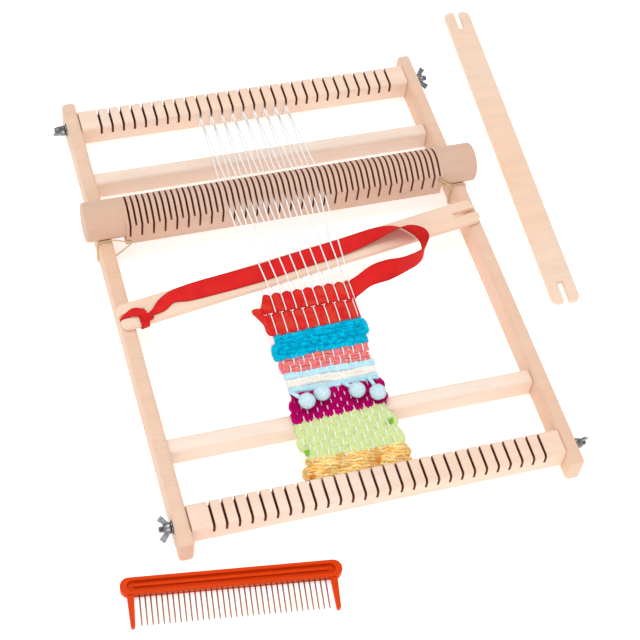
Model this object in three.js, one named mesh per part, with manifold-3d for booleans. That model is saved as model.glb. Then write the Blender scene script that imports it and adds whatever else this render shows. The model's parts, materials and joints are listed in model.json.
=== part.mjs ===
// A tabletop frame loom with a striped band in work, its two stick shuttles and its weaving comb.
// Millimetres. +X to the right, +Y from the weaver to the back beam, +Z up.
// The origin is the middle of the front crossbar's underside, on the table.
import * as THREE from "three";
import { mergeVertices } from "three/addons/utils/BufferGeometryUtils.js";
import Module from "manifold-3d";

const wasm = await Module();
wasm.setup();

// Clearances
const glueGap = 0.3; // beside what is glued, pegged or laid against its neighbour
const turnGap = 0.3; // round what turns
const threadGap = 0.3; // between a thread and what carries it

// Side rails
const frameInside = 305; // between the rails' inner faces
const railWidth = 12;
const railHeight = 26;
const railRound = 3.5;
const railOverhang = 22.4; // from a beam's axis to the rail's end

// Beams, the toothed bars that hold the warp
const frontBeamSetback = 68.1; // from the front crossbar to the front beam's axis
const beamSpacing = 409.2; // between the two beams' axes
const beamDepth = 23;
const beamHeight = 21;
const beamRound = 3;
const beamPlainEnd = 17; // from the beam's end to its first slot
const beamSlotPitch = 10;
const beamSlotWidth = 2;
const beamSlotDepth = 9;

// Crossbars
const crossbarDepth = 14;
const crossbarHeight = 20;
const crossbarRound = 3.5;
const backCrossbarY = 277;
const dowelRadius = 3;
const dowelInRail = 8;
const dowelInBar = 14;

// Heddle bar, the round slotted bar that opens the shed
const heddleY = 218.7;
const heddleRadius = 17;
const heddleShoulderGap = 11.5; // from a rail's inner face to the slotted middle
const journalOverhang = 9.5; // how far a journal reaches past its rail
const heddleFlat = 18; // from the axis to the flat front face
const heddleFlatTop = 8.6;
const heddleShoulderSetback = 15; // where the round gives way to the slope down to the flat face
const heddleShoulderRise = 11.1;
const heddleHeelRound = 3;
const heddleEase = 2;
const saddleDepth = 8;
const heddlePlainEnd = 3.5; // from the slotted middle's end to its first slot
const heddleSlotPitch = 5;
const heddleSlotWidth = 1.8;
const heddleSlotHigh = 8; // a slot floor's high lip above the axis
const heddleSlotLow = 6; // its low lip below the axis
const heddleSlotRun = 35; // between the two lips

// Bolts, washers and wing nuts
const boltRadius = 2.5;
const boltClearance = 0.4;
const boltInBeam = 14;
const boltPastNut = 3.5;
const washerRadius = 5.6;
const washerThickness = 1;
const nutBaseRadius = 4.7;
const nutTopRadius = 3.9;
const nutHeight = 5.6;
const wingReach = 11;
const wingRise = 9.6;
const wingThickness = 1.7;

// Shuttles
const shuttleThickness = 5;
const shuttleNotchWidth = 5;
const shuttleNotchDepth = 22;
const shuttleCorner = 6;
const shuttleTipRound = 1.6;
const shuttlePastRails = 12.5; // how far each end reaches past the rails' inner faces
const shuttleWidth = 24.7;
const shuttleX = -1.2;
const shuttleY = 144.2;
const shuttleTurn = 8.6; // degrees
const spareLength = 356;
const spareWidth = 25.5;
const spareX = 228;
const spareY = 252;
const spareTurn = 86.8; // degrees

// Warp
const threadRadius = 0.5;
const warpRuns = 18;
const backSlotsLeftOfMiddle = 5; // back beam slots with warp, left of the loom's middle
const heddleSlotsLeftOfMiddle = 11;
const warpStackRise = 0.7; // the second thread in a slot above the first
const warpSlotDrop = 2.5; // between where a thread crosses the two faces of the heddle bar
const knotReach = 10; // how far a front end reaches into its slot

// Woven band
const clothThickness = 3;
const clothTopY = 119;
const clothTopZ = 26;
const clothBottomZ = 21;
const clothEase = 0.9;
const bandGap = 0.3;
const ribbonRowsRun = 37; // how much of the cloth's length each colour of weft takes
const blueRun = 24.5;
const coralRun = 16.5;
const skyRun = 19.5;
const magentaRun = 25.5;
const greenRun = 35.5;
const bandBulge = 0.8; // how far a band's edges swell between its neighbours
const ribbonThickness = 0.8;
const pompomRadius = 7;
const pompomSquash = 0.8;

// Ties that hold the heddle bar down on the rails
const tieRadius = 0.6;
const tieSetback = 16.4; // in front of the heddle bar's axis
const tieInset = 3; // from the journal's shoulder to the tie's hole
const leftTieHoleRise = -11; // from the heddle bar's axis to a tie's hole in its flat front
const rightTieHoleRise = 4.5;
const leftTieClimb = 4; // height at which a tie leaves its rail's inner side for the hole
const rightTieClimb = 20;
const tieHoleDepth = 7;
const tieGrooveDepth = 1.9;

// Comb
const combLength = 168;
const combWidth = 14;
const combThickness = 6;
const combX = -129.2;
const combY = -114.1;
const combTurn = -7.8; // degrees
const combRim = 2.6;
const combRecess = 1;
const endToothInset = 7.3; // from the comb's end to the tooth's middle
const endToothWidth = 5.5;
const endToothTip = 3.2;
const endToothLength = 26;
const endToothThickness = 4;
const needlePitch = 4.125;
const needleFromTooth = 6.5; // between the middles of an end tooth and the nearest needle
const needleLength = 25;
const needleRadius = 0.45;
const needleStripThickness = 1.4;
const needleStripDepth = 3.2;

// Places worked out from the sizes above
const railInnerX = frameInside / 2;
const railX = railInnerX + railWidth / 2;
const railOuterX = railInnerX + railWidth;
const frontBeamY = -frontBeamSetback;
const backBeamY = frontBeamY + beamSpacing;
const railLength = beamSpacing + 2 * railOverhang;
const railMidY = (frontBeamY + backBeamY) / 2;
const beamZ = railHeight - beamHeight / 2;
const crossbarZ = crossbarHeight / 2;
const beamLength = frameInside - 2 * turnGap;
const beamSlots = 1 + Math.floor((beamLength - 2 * beamPlainEnd) / beamSlotPitch);
const heddleMiddle = frameInside - 2 * heddleShoulderGap; // the slotted length between its round journals
const heddleLength = frameInside + 2 * (railWidth + journalOverhang);
const heddleSlots = 1 + Math.floor((heddleMiddle - 2 * heddlePlainEnd) / heddleSlotPitch);
const shuttleLength = frameInside + 2 * shuttlePastRails;
const firstWarpBeamSlot = Math.floor(beamSlots / 2) - backSlotsLeftOfMiddle;
const firstWarpHeddleSlot = Math.floor(heddleSlots / 2) - heddleSlotsLeftOfMiddle;
const slotFloorZ = railHeight - beamSlotDepth;
const heddleZ = railHeight - saddleDepth + heddleRadius;
const washerX = railOuterX + glueGap;
const nutX = washerX + washerThickness + turnGap;
const shuttleBottomZ = railHeight + glueGap;
const shuttleTopZ = shuttleBottomZ + shuttleThickness;

// Finishes
const beech = { color: 0xdcb993, roughness: 0.6, metalness: 0 };
const zinc = { color: 0xb9bcc0, roughness: 0.35, metalness: 1 };
const finishes = {
  beech,
  palebeech: { ...beech, color: 0xe6cba6 },
  zinc,
  thread: { color: 0xf4f4f0, roughness: 0.8, metalness: 0 },
  elastic: { color: 0xd9c48f, roughness: 0.8, metalness: 0 },
  ribbon: { color: 0xdf2b2b, roughness: 0.75, metalness: 0 },
  blue: { color: 0x1c9bd0, roughness: 0.9, metalness: 0 },
  coral: { color: 0xf0685f, roughness: 0.9, metalness: 0 },
  sky: { color: 0xa9def0, roughness: 0.9, metalness: 0 },
  magenta: { color: 0x93186f, roughness: 0.9, metalness: 0 },
  green: { color: 0xa5dd62, roughness: 0.9, metalness: 0 },
  orange: { color: 0xf5a526, roughness: 0.9, metalness: 0 },
  plastic: { color: 0xe24312, roughness: 0.35, metalness: 0 },
  steel: { color: 0x9a9c9e, roughness: 0.3, metalness: 1 },
};

const loom = new THREE.Group();

function addPiece(name, geometry, finish, parent = loom) {
  geometry.computeVertexNormals();
  const piece = new THREE.Mesh(geometry, new THREE.MeshStandardMaterial(finish));
  piece.name = name;
  parent.add(piece);
  return piece;
}

function place(piece, x, y, z) {
  piece.position.set(x, y, z);
  return piece;
}

// Solids for cutting and joining
function solidOf(geometry) {
  const bare = new THREE.BufferGeometry();
  bare.setAttribute("position", geometry.getAttribute("position"));
  bare.setIndex(geometry.getIndex());
  const merged = mergeVertices(bare, 1e-4);
  const mesh = new wasm.Mesh({
    numProp: 3,
    vertProperties: merged.attributes.position.array,
    triVerts: new Uint32Array(merged.index.array),
  });
  return new wasm.Manifold(mesh);
}

function geometryOf(solid) {
  const mesh = solid.getMesh();
  const geometry = new THREE.BufferGeometry();
  geometry.setAttribute("position", new THREE.BufferAttribute(mesh.vertProperties, 3));
  geometry.setIndex(new THREE.BufferAttribute(mesh.triVerts, 1));
  return geometry;
}

function joined(geometries) {
  return geometries.map(solidOf).reduce((whole, next) => whole.add(next));
}

function cut(geometry, cutters) {
  return geometryOf(solidOf(geometry).subtract(joined(cutters)));
}

// Turns a shape drawn in X and Y and extruded along Z so that it is drawn in Y and Z and runs along X
function alongX(geometry) {
  const turn = new THREE.Matrix4().makeBasis(
    new THREE.Vector3(0, 1, 0),
    new THREE.Vector3(0, 0, 1),
    new THREE.Vector3(1, 0, 0),
  );
  return geometry.applyMatrix4(turn);
}

// The same for a shape that is drawn in X and Z and runs along Y
function alongY(geometry) {
  const turn = new THREE.Matrix4().makeBasis(
    new THREE.Vector3(1, 0, 0),
    new THREE.Vector3(0, 0, 1),
    new THREE.Vector3(0, -1, 0),
  );
  return geometry.applyMatrix4(turn);
}

function arc(cx, cy, radius, from, to, steps) {
  return Array.from({ length: steps + 1 }, (_, i) => {
    const angle = THREE.MathUtils.degToRad(from + ((to - from) * i) / steps);
    return new THREE.Vector2(cx + radius * Math.cos(angle), cy + radius * Math.sin(angle));
  });
}

function roundedRectangle(width, height, round, steps = 3) {
  const x = width / 2 - round;
  const y = height / 2 - round;
  return [
    ...arc(x, y, round, 0, 90, steps),
    ...arc(-x, y, round, 90, 180, steps),
    ...arc(-x, -y, round, 180, 270, steps),
    ...arc(x, -y, round, 270, 360, steps),
  ];
}

// An outline extruded along Z, centred on the origin, with its ends eased by the given size
function extruded(outline, length, ease = 0) {
  const geometry = new THREE.ExtrudeGeometry(new THREE.Shape(outline), {
    depth: length - 2 * ease,
    bevelEnabled: ease > 0,
    bevelThickness: ease,
    bevelSize: ease,
    bevelOffset: -ease,
    bevelSegments: 2,
  });
  return geometry.translate(0, 0, ease - length / 2);
}

function rod(radius, length, sides) {
  return extruded(arc(0, 0, radius, 0, 360, sides).slice(1), length);
}

// A tube along straight stretches between points, mitred where it turns
function tube(points, radius, sides) {
  const path = points.map((p) => new THREE.Vector3(...p));
  const position = [];
  const index = [];
  let across = null;
  path.forEach((point, i) => {
    const before = path[Math.max(i - 1, 0)];
    const after = path[Math.min(i + 1, path.length - 1)];
    const into = (i ? point.clone().sub(before) : after.clone().sub(point)).normalize();
    const out = (i < path.length - 1 ? after.clone().sub(point) : into.clone()).normalize();
    const along = into.clone().add(out).normalize();
    if (!across) across = new THREE.Vector3(0, 0, 1).cross(into).normalize();
    across.addScaledVector(into, -across.dot(into)).normalize();
    const up = new THREE.Vector3().crossVectors(into, across);
    for (let k = 0; k < sides; k++) {
      const angle = (2 * Math.PI * k) / sides;
      const spoke = across.clone().multiplyScalar(radius * Math.cos(angle));
      spoke.addScaledVector(up, radius * Math.sin(angle));
      spoke.addScaledVector(into, -spoke.dot(along) / into.dot(along));
      position.push(...point.clone().add(spoke).toArray());
    }
  });
  const ring = (i, k) => i * sides + (k % sides);
  for (let i = 0; i < path.length - 1; i++) {
    for (let k = 0; k < sides; k++) {
      index.push(ring(i, k), ring(i, k + 1), ring(i + 1, k + 1));
      index.push(ring(i, k), ring(i + 1, k + 1), ring(i + 1, k));
    }
  }
  const last = path.length - 1;
  for (let k = 1; k < sides - 1; k++) {
    index.push(ring(0, 0), ring(0, k + 1), ring(0, k));
    index.push(ring(last, 0), ring(last, k), ring(last, k + 1));
  }
  const geometry = new THREE.BufferGeometry();
  geometry.setAttribute("position", new THREE.Float32BufferAttribute(position, 3));
  geometry.setIndex(index);
  return geometry;
}

// Frame: side rails with saddles for the heddle bar, holes for the bolts and dowels, and tie grooves
const tieY = heddleY - tieSetback;

function sideRail(name, side) {
  const bar = alongY(extruded(roundedRectangle(railWidth, railHeight, railRound), railLength, railRound - 1));
  bar.translate(side * railX, railMidY, railHeight / 2);
  const saddle = alongX(rod(heddleRadius + turnGap, 3 * railWidth, 24));
  saddle.translate(side * railX, heddleY, heddleZ);
  const boltHoles = [frontBeamY, backBeamY].map((y) =>
    alongX(rod(boltRadius + boltClearance, 3 * railWidth, 12)).translate(side * railX, y, beamZ),
  );
  const dowelHoles = [0, backCrossbarY].map((y) =>
    alongX(rod(dowelRadius + glueGap, 2 * (dowelInRail + glueGap), 12)).translate(side * railInnerX, y, crossbarZ),
  );
  const groove = new THREE.BoxGeometry(3 * railWidth, 4 * tieRadius, 2 * tieGrooveDepth);
  groove.translate(side * railX, tieY, 0);
  addPiece(name, cut(bar, [saddle, ...boltHoles, ...dowelHoles, groove]), finishes.beech);
}

sideRail("left_side_rail", -1);
sideRail("right_side_rail", 1);

// Crossbars, pegged between the rails
function crossbar(name, y) {
  const length = frameInside - 2 * glueGap;
  const bar = alongX(extruded(roundedRectangle(crossbarDepth, crossbarHeight, crossbarRound), length));
  const holes = [-1, 1].map((side) =>
    alongX(rod(dowelRadius + glueGap, 2 * (dowelInBar + glueGap), 12)).translate((side * length) / 2, 0, 0),
  );
  place(addPiece(name, cut(bar, holes), finishes.beech), 0, y, crossbarZ);
  for (const side of [-1, 1]) {
    const peg = alongX(rod(dowelRadius, dowelInRail + dowelInBar, 12));
    const pegX = side * (railInnerX + (dowelInRail - dowelInBar) / 2);
    const pegName = `${name}_${side < 0 ? "left" : "right"}_dowel`;
    place(addPiece(pegName, peg, finishes.palebeech), pegX, y, crossbarZ);
  }
}

crossbar("front_crossbar", 0);
crossbar("back_crossbar", backCrossbarY);

// Beams, with a comb of slots cut into their tops and a bolt in each end
const beamSlotX = (i) => (i - (beamSlots - 1) / 2) * beamSlotPitch;

function beam(name, y) {
  const bar = alongX(extruded(roundedRectangle(beamDepth, beamHeight, beamRound), beamLength));
  const slotOutline = [
    new THREE.Vector2(beamSlotWidth / 2, beamHeight),
    new THREE.Vector2(-beamSlotWidth / 2, beamHeight),
    ...arc(0, beamHeight / 2 - beamSlotDepth + beamSlotWidth / 2, beamSlotWidth / 2, 180, 360, 2),
  ];
  const slots = Array.from({ length: beamSlots }, (_, i) =>
    alongY(extruded(slotOutline, 2 * beamDepth)).translate(beamSlotX(i), 0, 0),
  );
  const holes = [-1, 1].map((side) =>
    alongX(rod(boltRadius + glueGap, 2 * (boltInBeam + glueGap), 12)).translate((side * beamLength) / 2, 0, 0),
  );
  place(addPiece(name, cut(bar, [...slots, ...holes]), finishes.beech), 0, y, beamZ);
}

beam("front_beam", frontBeamY);
beam("back_beam", backBeamY);

// Bolts, washers and wing nuts at the four ends of the beams
const boltOutX = nutX + nutHeight + boltPastNut;
const boltInX = railInnerX - turnGap - boltInBeam;

// A wing nut whose axis is Z, standing on the plane of its base
function wingNut() {
  const bore = boltRadius + boltClearance;
  const hubProfile = [
    new THREE.Vector2(bore, 0),
    new THREE.Vector2(nutBaseRadius, 0),
    new THREE.Vector2(nutBaseRadius, 1.2),
    new THREE.Vector2(nutTopRadius, nutHeight),
    new THREE.Vector2(bore, nutHeight),
    new THREE.Vector2(bore, 0),
  ];
  const hub = new THREE.LatheGeometry(hubProfile, 14).rotateX(Math.PI / 2);
  const wing = new THREE.Shape();
  wing.moveTo(bore + 0.6, 0.6);
  wing.quadraticCurveTo(wingReach * 0.8, 0.8, wingReach, wingRise * 0.72);
  wing.quadraticCurveTo(wingReach + 0.3, wingRise, wingReach * 0.84, wingRise);
  wing.quadraticCurveTo(wingReach * 0.68, wingRise * 0.95, wingReach * 0.56, wingRise * 0.6);
  wing.lineTo(bore + 0.6, nutHeight - 0.3);
  wing.closePath();
  const blade = (turn) =>
    new THREE.ExtrudeGeometry(wing, { depth: wingThickness, bevelEnabled: false, curveSegments: 4 })
      .translate(0, 0, -wingThickness / 2)
      .rotateX(Math.PI / 2)
      .rotateZ(turn);
  const through = rod(bore, 4 * nutHeight, 14).rotateZ(Math.PI / 14);
  return geometryOf(joined([hub, blade(0), blade(Math.PI)]).subtract(solidOf(through)));
}

// A bolt whose axis is Z: a plain shank with a chamfered end that shows past the nut
function beamBolt() {
  const length = boltOutX - boltInX;
  const profile = [
    new THREE.Vector2(0, 0),
    new THREE.Vector2(boltRadius * 0.5, 0),
    new THREE.Vector2(boltRadius, 4),
    new THREE.Vector2(boltRadius, length - 0.7),
    new THREE.Vector2(boltRadius - 0.6, length),
    new THREE.Vector2(0, length),
  ];
  return new THREE.LatheGeometry(profile, 12).rotateX(Math.PI / 2);
}

function washer() {
  const profile = [
    new THREE.Vector2(boltRadius + boltClearance, 0),
    new THREE.Vector2(washerRadius, 0),
    new THREE.Vector2(washerRadius, washerThickness),
    new THREE.Vector2(boltRadius + boltClearance, washerThickness),
    new THREE.Vector2(boltRadius + boltClearance, 0),
  ];
  return new THREE.LatheGeometry(profile, 16).rotateX(Math.PI / 2);
}

// Each corner's wing nut stands at its own angle about its bolt, in degrees
const corners = [
  { name: "front_left", side: -1, y: frontBeamY, wingTurn: 44 },
  { name: "front_right", side: 1, y: frontBeamY, wingTurn: 22 },
  { name: "back_left", side: -1, y: backBeamY, wingTurn: 155 },
  { name: "back_right", side: 1, y: backBeamY, wingTurn: 100 },
];

for (const { name, side, y, wingTurn } of corners) {
  const corner = new THREE.Group();
  corner.position.set(0, y, beamZ);
  corner.rotation.y = (side * Math.PI) / 2;
  loom.add(corner);
  place(addPiece(`${name}_bolt`, beamBolt(), finishes.zinc, corner), 0, 0, boltInX);
  place(addPiece(`${name}_washer`, washer(), finishes.zinc, corner), 0, 0, washerX);
  const nut = addPiece(`${name}_wing_nut`, wingNut(), finishes.zinc, corner);
  place(nut, 0, 0, nutX).rotation.z = THREE.MathUtils.degToRad(wingTurn);
}

// Heddle bar: round journals in the rails' saddles, a flat-fronted middle with two sets of slanted slots
const heddleSlotX = (j) => (j - (heddleSlots - 1) / 2) * heddleSlotPitch;
const heddleSlope = (heddleSlotHigh + heddleSlotLow) / heddleSlotRun;
const tieHoleX = heddleMiddle / 2 - tieInset;

function heddleBar() {
  const section = [
    ...arc(0, 0, heddleRadius, -90, 120, 14),
    new THREE.Vector2(-heddleShoulderSetback, heddleShoulderRise),
    new THREE.Vector2(-heddleFlat, heddleFlatTop),
    ...arc(-heddleFlat + heddleHeelRound, -heddleRadius + heddleHeelRound, heddleHeelRound, 180, 270, 3),
  ];
  const middle = alongX(extruded(section, heddleMiddle));
  const overlap = 4;
  const journalLength = (heddleLength - heddleMiddle) / 2 + overlap;
  const journals = [-1, 1].map((side) =>
    alongX(extruded(arc(0, 0, heddleRadius, 0, 360, 24).slice(1), journalLength, heddleEase)).translate(
      (side * (heddleLength + heddleMiddle - 2 * overlap)) / 4,
      0,
      0,
    ),
  );
  const reach = 2 * heddleRadius;
  const cutters = Array.from({ length: heddleSlots }, (_, j) => {
    const lean = j % 2 ? -heddleSlope : heddleSlope;
    const middleZ = (heddleSlotHigh - heddleSlotLow) / 2;
    const floorAt = (y) => new THREE.Vector2(y, middleZ + lean * (y + heddleFlat - heddleSlotRun / 2));
    const outline = [floorAt(-reach), floorAt(reach), new THREE.Vector2(reach, reach), new THREE.Vector2(-reach, reach)];
    return alongX(extruded(outline, heddleSlotWidth)).translate(heddleSlotX(j), 0, 0);
  });
  const tieHoles = [
    [-tieHoleX, leftTieHoleRise],
    [tieHoleX, rightTieHoleRise],
  ].map(([x, rise]) => alongY(rod(2 * tieRadius, 2 * tieHoleDepth, 8)).translate(x, -heddleFlat, rise));
  const whole = joined([middle, ...journals]);
  return geometryOf(whole.subtract(joined([...cutters, ...tieHoles])));
}

place(addPiece("heddle_bar", heddleBar(), finishes.beech), 0, heddleY, heddleZ);

// Thin elastic ties: from a hole in the bar's flat front over the rail beside the journal, down its outside,
// under it in a groove and back up to the hole
function heddleTie(name, side, holeRise, climb) {
  const holeZ = heddleZ + holeRise;
  const beside = tieRadius + threadGap;
  const outX = railOuterX + beside;
  const inX = railInnerX - beside;
  const front = heddleY - heddleFlat;
  const route = [
    [tieHoleX, front + tieHoleDepth - 1, holeZ],
    [tieHoleX, front - 1.5, holeZ],
    [inX - 1, tieY - 0.7, railHeight + beside],
    [railX, tieY, railHeight + beside + 0.3],
    [outX - 1.2, tieY, railHeight + beside - 0.6],
    [outX, tieY, railHeight - 3],
    [outX, tieY, 3],
    [outX - 0.8, tieY, beside],
    [inX + 0.8, tieY, beside],
    [inX, tieY, 3],
    [inX - 0.4, tieY - 0.5, climb],
    [tieHoleX - 0.4, front - 1.7, holeZ - 2.6],
  ];
  const points = route.map(([x, y, z]) => [side * x, y, z]);
  addPiece(name, tube(points, tieRadius, 6), finishes.elastic);
}

heddleTie("left_heddle_tie", -1, leftTieHoleRise, leftTieClimb);
heddleTie("right_heddle_tie", 1, rightTieHoleRise, rightTieClimb);

// Stick shuttles: a flat stick with a square-bottomed notch in each end
function shuttleOutline(length, width) {
  const x = length / 2;
  const y = width / 2;
  const notchY = shuttleNotchWidth / 2;
  const floorX = x - shuttleNotchDepth;
  const rightEnd = [
    ...arc(x - shuttleCorner, -y + shuttleCorner, shuttleCorner, -90, 0, 4),
    ...arc(x - shuttleTipRound, -notchY - shuttleTipRound, shuttleTipRound, 0, 90, 2),
    new THREE.Vector2(floorX, -notchY),
  ];
  const upperEnd = rightEnd.map((p) => new THREE.Vector2(p.x, -p.y)).reverse();
  const half = [...rightEnd, ...upperEnd];
  return [...half, ...half.map((p) => new THREE.Vector2(-p.x, -p.y))];
}

const shuttle = new THREE.Group();
shuttle.position.set(shuttleX, shuttleY, shuttleBottomZ);
shuttle.rotation.z = THREE.MathUtils.degToRad(shuttleTurn);
loom.add(shuttle);
const shuttleStick = extruded(shuttleOutline(shuttleLength, shuttleWidth), shuttleThickness, 1);
place(addPiece("shuttle", shuttleStick, finishes.palebeech, shuttle), 0, 0, shuttleThickness / 2);

const spareStick = extruded(shuttleOutline(spareLength, spareWidth), shuttleThickness, 1);
const spare = place(addPiece("spare_shuttle", spareStick, finishes.palebeech), spareX, spareY, shuttleThickness / 2);
spare.rotation.z = THREE.MathUtils.degToRad(spareTurn);

// The ribbon's end is tied in a ring through the left notch and round the shuttle's front prong
function ribbonKnot() {
  const prong = (shuttleWidth - shuttleNotchWidth) / 2;
  const wall = 1;
  const inner = [prong + 2 * glueGap, shuttleThickness + 2 * glueGap];
  const outer = roundedRectangle(inner[0] + 2 * wall, inner[1] + 2 * wall, 1.5, 2);
  const opening = roundedRectangle(inner[0], inner[1], 0.6, 1);
  const band = 7;
  const ring = cut(alongX(extruded(outer, band)), [alongX(extruded(opening, 2 * band))]);
  const knotX = -shuttleLength / 2 + shuttleNotchDepth - band / 2 - 1;
  const knotY = -(shuttleNotchWidth + prong) / 2;
  place(addPiece("ribbon_knot", ring, finishes.ribbon, shuttle), knotX, knotY, shuttleThickness / 2);
}

ribbonKnot();

// The ribbon's free run, given by its two edges: over the shuttle, round in a loop on edge, into the cloth
const ribbonLift = glueGap + ribbonThickness / 2;
const flatZ = shuttleTopZ + ribbonLift;
const ribbonEdges = [
  [[-134.5, 122.5, flatZ + 0.5], [-133.5, 114.5, flatZ + 0.5]],
  [[-128.1, 131, flatZ], [-126.8, 119.8, flatZ]],
  [[-92.2, 141.6, flatZ], [-92.9, 125.0, flatZ]],
  [[-42.5, 148.1, flatZ], [-43.6, 130.1, flatZ]],
  [[-4, 154.4, flatZ], [-6, 136.6, flatZ + 0.1]],
  [[34.8, 160.2, flatZ], [32.0, 142.3, flatZ + 0.8]],
  [[67.9, 165.6, flatZ + 0.2], [62.2, 149.0, 36]],
  [[85.4, 163.6, flatZ + 0.4], [81.5, 151.4, 44.5]],
  [[97.4, 152.7, flatZ + 0.6], [92.1, 150.0, 49]],
  [[101.4, 143.0, flatZ], [103.0, 142.5, 49.9]],
  [[101.5, 136.8, 30], [104.8, 136.2, 47.7]],
  [[101.0, 131.0, 28], [98.6, 128.1, 44.9]],
  [[93.6, 124.0, 27], [90.5, 124.3, 44.6]],
  [[80.6, 118.4, 27], [75.4, 122.0, 43.9]],
  [[65.7, 113.2, 27], [64.0, 125.6, 39.0]],
  [[48.9, 110.5, 27], [51.8, 126.8, 33.0]],
  [[35.5, 104.0, 27], [37.3, 121.7, 28.6]],
];

function ribbonRun() {
  const edge = (side) =>
    new THREE.CatmullRomCurve3(ribbonEdges.map((pair) => new THREE.Vector3(...pair[side])), false, "centripetal");
  const [far, near] = [edge(0), edge(1)];
  const steps = 48;
  const position = [];
  const index = [];
  for (let i = 0; i <= steps; i++) {
    const a = far.getPoint(i / steps);
    const b = near.getPoint(i / steps);
    const along = far.getTangent(i / steps).add(near.getTangent(i / steps));
    const face = along.cross(b.clone().sub(a)).normalize().multiplyScalar(ribbonThickness / 2);
    for (const corner of [a.clone().add(face), a.clone().sub(face), b.clone().sub(face), b.clone().add(face)]) {
      position.push(...corner.toArray());
    }
  }
  for (let i = 0; i < steps; i++) {
    for (let k = 0; k < 4; k++) {
      const [p, q] = [i * 4 + k, i * 4 + ((k + 1) % 4)];
      index.push(p, q, q + 4, p, q + 4, p + 4);
    }
  }
  const end = steps * 4;
  index.push(0, 3, 2, 0, 2, 1, end, end + 1, end + 2, end, end + 2, end + 3);
  const geometry = new THREE.BufferGeometry();
  geometry.setAttribute("position", new THREE.Float32BufferAttribute(position, 3));
  geometry.setIndex(index);
  return geometry;
}

addPiece("ribbon_run", ribbonRun(), finishes.ribbon);

// Woven band: each colour of weft is a piece, from the shuttle's side down to the front beam
const clothBottomY = frontBeamY + beamDepth / 2 + threadGap;
const clothRun = clothTopY - clothBottomY;
const clothTilt = Math.atan2(clothTopZ - clothBottomZ, clothRun);
const blueTop = clothTopY - ribbonRowsRun;
const coralTop = blueTop - blueRun;
const skyTop = coralTop - coralRun;
const magentaTop = skyTop - skyRun;
const greenTop = magentaTop - magentaRun;
const orangeTop = greenTop - greenRun;
const bands = [
  { name: "ribbon_rows", finish: finishes.ribbon, from: clothTopY, to: blueTop },
  { name: "blue_band", finish: finishes.blue, from: blueTop, to: coralTop },
  { name: "coral_band", finish: finishes.coral, from: coralTop, to: skyTop },
  { name: "sky_band", finish: finishes.sky, from: skyTop, to: magentaTop },
  { name: "magenta_band", finish: finishes.magenta, from: magentaTop, to: greenTop },
  { name: "green_band", finish: finishes.green, from: greenTop, to: orangeTop },
  { name: "orange_band", finish: finishes.orange, from: orangeTop, to: clothBottomY },
];
// The band's two selvedges: distance along it, left edge and right edge
const selvedges = [
  [119, -44.4, 30.5],
  [102, -42.2, 29.0],
  [82, -45.0, 29.5],
  [57.5, -47.7, 30.5],
  [41, -48.2, 29.4],
  [21.5, -48.4, 28.1],
  [-4, -50.3, 27.9],
  [-39.5, -53.8, 30.3],
  [-57, -58.3, 34.1],
];

function selvedgeAt(y, column) {
  const next = selvedges.findIndex(([at]) => at <= y);
  const low = selvedges[next < 0 ? selvedges.length - 1 : next];
  const high = selvedges[Math.max((next < 0 ? selvedges.length : next) - 1, 0)];
  const share = high[0] === low[0] ? 0 : (y - low[0]) / (high[0] - low[0]);
  return low[column] + share * (high[column] - low[column]);
}

const clothZ = (y) => clothBottomZ + (y - clothBottomY) * Math.tan(clothTilt);

function bandOutline({ from, to }) {
  const top = from - bandGap / 2;
  const bottom = to + bandGap / 2;
  const middle = (top + bottom) / 2;
  return [
    new THREE.Vector2(selvedgeAt(bottom, 2), bottom),
    new THREE.Vector2(selvedgeAt(middle, 2) + bandBulge, middle),
    new THREE.Vector2(selvedgeAt(top, 2), top),
    new THREE.Vector2(selvedgeAt(top, 1), top),
    new THREE.Vector2(selvedgeAt(middle, 1) - bandBulge, middle),
    new THREE.Vector2(selvedgeAt(bottom, 1), bottom),
  ];
}

// The front ends of the warp leave the last colour of weft and are knotted down in the front beam's slots
function frontEnds() {
  const firstSlot = firstWarpBeamSlot - 1;
  const slots = warpRuns / 2 + 1;
  return Array.from({ length: slots }, (_, i) => {
    const x = beamSlotX(firstSlot + i);
    const left = selvedgeAt(clothBottomY, 1) + 2 * threadRadius;
    const right = selvedgeAt(clothBottomY, 2) - 2 * threadRadius;
    const start = left + ((right - left) * i) / (slots - 1);
    const z = Math.max(clothBottomZ, slotFloorZ + threadRadius + threadGap);
    const route = [
      [start + (x - start) * 0.5, clothBottomY + 1.5, clothBottomZ],
      [x, clothBottomY - threadGap - 0.5, z],
      [x, clothBottomY - knotReach, z],
    ];
    return tube(route, threadRadius, 6);
  });
}

for (const band of bands) {
  const slab = extruded(bandOutline(band), clothThickness, clothEase);
  slab.translate(0, -clothBottomY, 0).rotateX(clothTilt).translate(0, clothBottomY, clothBottomZ);
  const last = band === bands[bands.length - 1];
  const geometry = last ? geometryOf(joined([slab, ...frontEnds()])) : slab;
  addPiece(band.name, geometry, band.finish);
}

// Four pompoms threaded along the light blue cord
const pompoms = [
  [-37.4, 9.9],
  [-23.6, 14.6],
  [4.7, 11.2],
  [20.6, 5.7],
];
pompoms.forEach(([x, y], i) => {
  const ball = new THREE.IcosahedronGeometry(pompomRadius, 2).scale(1, 1, pompomSquash);
  const seat = clothZ(y) + clothThickness / 2 / Math.cos(clothTilt);
  place(addPiece(`pompom_${i + 1}`, ball, finishes.sky), x, y, seat + glueGap + pompomRadius * pompomSquash);
});

// Warp: one thread zigzags between the beams, two runs to a slot, and loops behind the back beam's teeth
const shuttleFrontAt = (x) => {
  const turn = THREE.MathUtils.degToRad(shuttleTurn);
  return shuttleY + (x - shuttleX) * Math.tan(turn) - shuttleWidth / 2 / Math.cos(turn);
};
const shuttleBackAt = (x) => shuttleFrontAt(x) + shuttleWidth / Math.cos(THREE.MathUtils.degToRad(shuttleTurn));

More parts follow.
